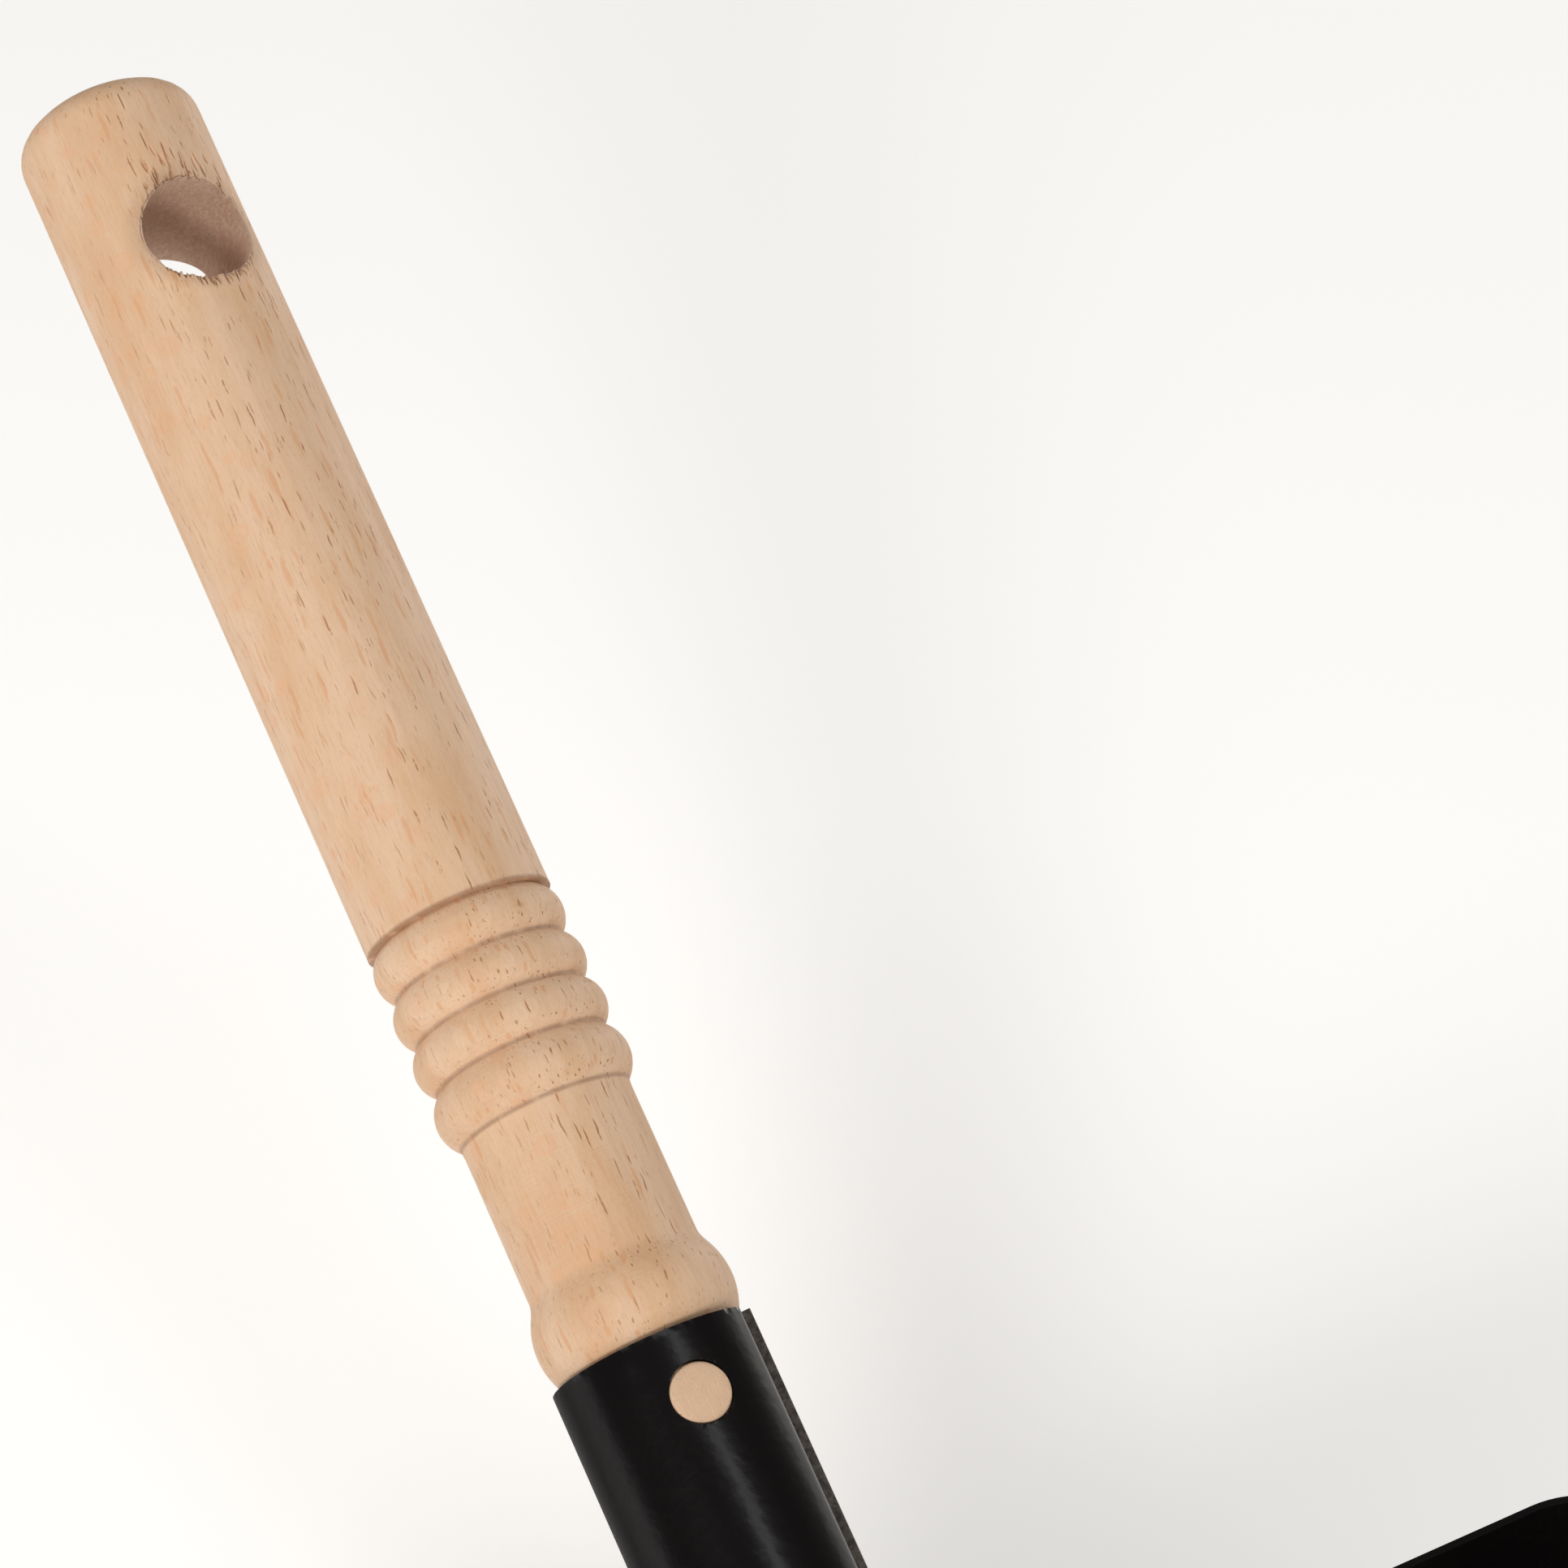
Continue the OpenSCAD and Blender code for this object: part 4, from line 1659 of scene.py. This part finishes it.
    def build_tray(self, shop: Workshop, paint: Material) -> None:
        """Make the floor with its ribs and its turned-up edge.

        Args:
            shop: Where pieces are finished.
            paint: The black paint.
        """
        mesh = bmesh.new()
        start = self.lip_y + self.nose_y
        x = -self.half_width(-self.sheet, start)
        line = self.flange_line(mesh, x, start)
        self.sweep(mesh, line, self.side_runs(start, -self.sheet, self.flange_r, 10))
        bmesh.ops.remove_doubles(mesh, verts=mesh.verts, dist=0.0001)
        for vert in mesh.verts:
            if vert.co.z > self.bend:
                share = (vert.co.z - self.bend) / (self.flange_h - self.bend)
                vert.co.z = self.bend + share * (self.flange_top(vert.co.y) - self.bend)
        self.fill_floor(mesh, start)
        self.press_ribs(mesh)
        self.dress(shop, mesh, "floor_tray_pressed", "floor_tray", paint)

    def flange_top(self, y: float) -> float:
        """Return the height of the turned-up edge.

        Args:
            y: The lengthways place.

        Returns:
            The height there.
        """
        offset = self.lip_y + self.nose_y + self.flange_r - y
        if offset <= 0.0:
            return self.flange_h
        return self.flange_h - self.flange_r + math.sqrt(max(0.0, self.flange_r**2 - offset**2))

    def fill_floor(self, mesh: BMesh, start: float) -> None:
        """Close the floor inside its turned-up edge, out to the lip.

        Args:
            mesh: The bmesh with the turned-up edge.
            start: Where that edge begins.
        """
        turn = math.radians(self.flare)
        bottom = [vert for vert in mesh.verts if vert.co.z < FLAT]
        low_edges = [
            edge for edge in mesh.edges if edge.is_boundary and all(v.co.z < FLAT for v in edge.verts)
        ]
        ends = [vert for vert in bottom if sum(edge in low_edges for edge in vert.link_edges) == 1]
        left = min(ends, key=lambda vert: vert.co.x)
        right = max(ends, key=lambda vert: vert.co.x)
        corner_y = self.lip_y + self.lip_r
        corner_x = self.half_width(self.lip_r - self.sheet, corner_y)
        arc = 10
        short = start - 2.0
        chain = [left, mesh.verts.new((-self.half_width(-self.sheet, short), short, 0.0))]
        for k in range(arc + 1):
            angle = math.pi - turn + (math.pi / 2.0 + turn) * k / arc
            x = -corner_x + self.lip_r * math.cos(angle)
            chain.append(mesh.verts.new((x, corner_y + self.lip_r * math.sin(angle), 0.0)))
        mirrored = [mesh.verts.new((-vert.co.x, vert.co.y, 0.0)) for vert in reversed(chain[1:])]
        chain += mirrored + [right]
        front = [mesh.edges.new(pair) for pair in zip(chain, chain[1:])]
        made = bmesh.ops.contextual_create(mesh, geom=low_edges + front)
        LOG.info("floor outline closed with %d face(s)", len(made["faces"]))

    def press_ribs(self, mesh: BMesh) -> None:
        """Cut the floor into a fine net and press the ribs up.

        Args:
            mesh: The bmesh with the flat floor.
        """
        middle = (self.rib_count - 1) / 2.0
        ribs = [(k - middle) * self.rib_pitch for k in range(self.rib_count)]
        front = self.lip_y + self.rib_front
        rear = self.wall_y - self.rib_rear
        reach = self.rib_half + 0.8
        shares = [k / 9.0 for k in range(-9, 10)]
        lines_x = [rib + reach * share for rib in ribs for share in shares]
        lines_y = [end + reach * share for end in (front, rear) for share in shares]
        lines_y += [front + (rear - front) * k / 24.0 for k in range(2, 23)]
        for value, axis in [(x, 0) for x in lines_x] + [(y, 1) for y in lines_y]:
            self.slice_floor(mesh, value, axis)
        for vert in mesh.verts:
            if vert.co.z > FLAT:
                continue
            y = min(max(vert.co.y, front), rear)
            gap = min(math.hypot(vert.co.x - rib, vert.co.y - y) for rib in ribs)
            if gap < self.rib_half:
                vert.co.z = self.rib_h * math.cos(math.pi / 2.0 * gap / self.rib_half) ** 2

    def slice_floor(self, mesh: BMesh, value: float, axis: int) -> None:
        """Cut the flat floor's faces along one plane.

        Args:
            mesh: The bmesh with the flat floor.
            value: The plane's place.
            axis: 0 for a plane across X, 1 for one across Y.
        """
        flat = [face for face in mesh.faces if all(vert.co.z < FLAT for vert in face.verts)]
        geom = set(flat)
        for face in flat:
            geom.update(face.edges)
            geom.update(face.verts)
        spot = Vector((0.0, 0.0, 0.0))
        spot[axis] = value
        normal = Vector((0.0, 0.0, 0.0))
        normal[axis] = 1.0
        bmesh.ops.bisect_plane(mesh, geom=list(geom), plane_co=spot, plane_no=normal)


@dataclass
class Rivet:
    """Snap-head rivet with a set tail, drawn with +Z out of the sheets."""

    shank: float
    grip: float

    def mesh(self) -> BMesh:
        """Turn one rivet, zero on the outer sheet's face.

        Returns:
            The bmesh, in millimetres.
        """
        head_r = 2.1 * self.shank
        head_h = 1.3 * self.shank
        ball = (head_r**2 + head_h**2) / (2.0 * head_h)
        spread = math.asin(head_r / ball)
        turns = [spread * k / 9.0 for k in range(10)]
        spots = [
            Vector((ball * math.sin(turn), 0.0, head_h - ball + ball * math.cos(turn))) for turn in turns
        ]
        tail_r = 1.7 * self.shank
        tail_h = 0.6 * self.shank
        spots += [
            Vector((head_r - 0.15, 0.0, 0.0)),
            Vector((self.shank, 0.0, 0.0)),
            Vector((self.shank, 0.0, -self.grip)),
            Vector((tail_r, 0.0, -self.grip)),
        ]
        for k in range(1, 6):
            angle = math.pi / 2.0 * k / 5.0
            x = tail_r * (0.55 + 0.45 * math.cos(angle))
            spots.append(Vector((x, 0.0, -self.grip - tail_h * math.sin(angle))))
        spots.append(Vector((0.0, 0.0, -self.grip - tail_h * 0.93)))
        made = lathe(spots, 40)
        bmesh.ops.recalc_face_normals(made, faces=made.faces)
        return made


@dataclass
class Rivets:
    """Every rivet of the shovel, each with a little play in its setting."""

    pan: Pan
    names: list[str]
    seed: int = 3

    def build(self, shop: Workshop, paint: Material) -> None:
        """Make all rivets.

        Args:
            shop: Where pieces are finished.
            paint: The black paint.
        """
        draw = random.Random(self.seed)
        sheet = self.pan.sheet
        plate_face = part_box("socket_plate")[1].y / MM
        turn = math.radians(self.pan.flare)
        for name in self.names:
            low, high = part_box(name)
            seat = (low + high) / (2.0 * MM)
            aim = Vector((0.0, 1.0, 0.0))
            rivet = Rivet(1.6, 2.0 * sheet)
            if name.startswith("side"):
                side = 1.0 if seat.x > 0.0 else -1.0
                aim = Vector((side * math.cos(turn), math.sin(turn), 0.0))
                seat.x = side * self.pan.half_width(-sheet, seat.y)
            elif name.startswith("back"):
                seat.y = self.pan.wall_y + sheet
            else:
                seat.y = plate_face
                rivet = Rivet(2.0, 3.0)
            spin = Matrix.Rotation(draw.uniform(0.0, math.tau), 4, "Z")
            stand = Matrix.Translation(seat) @ aim.to_track_quat("Z", "Y").to_matrix().to_4x4() @ spin
            piece = shop.mesh_object(rivet.mesh(), name + "_set", Matrix.Scale(MM, 4) @ stand)
            shop.finish(piece, paint, Slot.RIVET, [name], smooth=40.0)


# ---------------------------------------------------------------------------
# Studio
# ---------------------------------------------------------------------------


@dataclass(frozen=True)
class SoftLight:
    """One soft panel of light."""

    name: str
    place: tuple[float, float, float]
    size: tuple[float, float]
    power: float
    colour: tuple[float, float, float] = (1.0, 1.0, 1.0)


@dataclass
class Studio:
    """Camera, pale floor and soft light."""

    camera_from_rim: tuple[float, float, float] = (-0.16698, -0.35590, 0.46916)
    pitch: float = -42.956
    heading: float = 27.688
    lens: float = 104.965
    air: Colour = (1.0, 0.975, 0.94, 1.0)
    air_glow: float = 0.12
    floor_colour: Colour = (0.92, 0.92, 0.915, 1.0)
    floor_glow: float = 0.36
    floor_reach: float = 40.0
    lights: tuple[SoftLight, ...] = (
        SoftLight("key", (-0.94, -1.02, 0.78), (0.45, 0.45), 13.8, (1.0, 0.985, 0.965)),
        SoftLight("overhead", (0.21, -0.25, 1.50), (0.19, 1.3), 2.8, (1.0, 1.0, 1.0)),
        SoftLight("front_fill", (0.81, -1.24, 0.94), (1.2, 1.2), 5.7, (1.0, 0.935, 0.83)),
        SoftLight("right_panel", (1.22, 0.62, 0.13), (0.5, 0.34), 4.8, (1.0, 0.94, 0.86)),
        SoftLight("tip_fill", (-0.81, 0.87, 1.47), (0.9, 0.9), 8.0, (1.0, 0.985, 0.96)),
    )

    def build(self, axis: HandleAxis) -> None:
        """Set up the studio.

        Args:
            axis: The handle's place in the frame.
        """
        scene = bpy.context.scene
        scene.view_settings.view_transform = "Standard"
        data = bpy.data.cameras.new("camera")
        data.lens = self.lens
        data.sensor_width = 36.0
        data.clip_start = 0.01
        camera = bpy.data.objects.new("camera", data)
        camera.location = axis.turn.translation + Vector(self.camera_from_rim)
        camera.rotation_euler = Euler(
            (math.radians(90.0 + self.pitch), 0.0, math.radians(-self.heading))
        )
        scene.collection.objects.link(camera)
        scene.camera = camera
        aim = axis.turn.translation
        for light in self.lights:
            self.hang(light, aim)
        self.sky()
        self.floor()

    def hang(self, light: SoftLight, aim: Vector) -> None:
        """Hang one light, turned towards a point.

        Args:
            light: The light.
            aim: The point, in the frame's metres.
        """
        data = bpy.data.lights.new(light.name, "AREA")
        data.shape = "RECTANGLE"
        data.size, data.size_y = light.size
        data.energy = light.power
        data.color = light.colour
        lamp = bpy.data.objects.new(light.name, data)
        lamp.location = light.place
        lamp.rotation_euler = (aim - Vector(light.place)).to_track_quat("-Z", "Y").to_euler()
        bpy.context.scene.collection.objects.link(lamp)

    def sky(self) -> None:
        """Fill the room with even light."""
        world = bpy.data.worlds.new("room")
        world.use_nodes = True
        back = world.node_tree.nodes["Background"]
        back.inputs["Color"].default_value = self.air
        back.inputs["Strength"].default_value = self.air_glow
        bpy.context.scene.world = world

    def floor(self) -> None:
        """Lay the pale floor."""
        mesh = bmesh.new()
        bmesh.ops.create_grid(mesh, x_segments=1, y_segments=1, size=self.floor_reach)
        data = bpy.data.meshes.new("studio_floor")
        mesh.to_mesh(data)
        mesh.free()
        floor = bpy.data.objects.new("studio_floor", data)
        floor.location.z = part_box("floor_tray")[0].z - 0.0002
        shader = Shader("pale_floor")
        shader.dress("Base Color", self.floor_colour)
        shader.dress("Roughness", 0.85)
        shader.dress("Emission Color", (1.0, 1.0, 1.0, 1.0))
        shader.dress("Emission Strength", self.floor_glow)
        data.materials.append(shader.material)
        bpy.context.scene.collection.objects.link(floor)


def main() -> None:
    """Build the shovel's looks round its frame."""
    logging.basicConfig(level=logging.INFO, format="%(name)s: %(message)s")
    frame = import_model()
    shop = Workshop()
    axis = HandleAxis.from_frame()
    socket = Socket()
    pan = Pan()
    pan_paint = BlackPaint("paint_pan", peel=0.000007).build()
    socket_paint = SocketPaint("paint_socket", gloss=(0.23, 0.29), scuffs=0.06).build_on(axis, socket)
    rivet_paint = BlackPaint("paint_rivets", gloss=(0.26, 0.40), peel=0.00002).build()
    Studio().build(axis)
    Handle().build(shop, axis, socket)
    Peg().build(shop, axis)
    socket.build(shop, axis, socket_paint)
    Weld().build(shop, axis, socket, rivet_paint)
    Plate().build(shop, pan_paint)
    pan.build_band(shop, pan_paint)
    pan.build_tray(shop, pan_paint)
    Rivets(pan, sorted(name for name in frame["nodes"] if "rivet" in name)).build(shop, rivet_paint)
    LOG.info("%d pieces", len(shop.pieces))


if __name__ == "__main__":
    main()
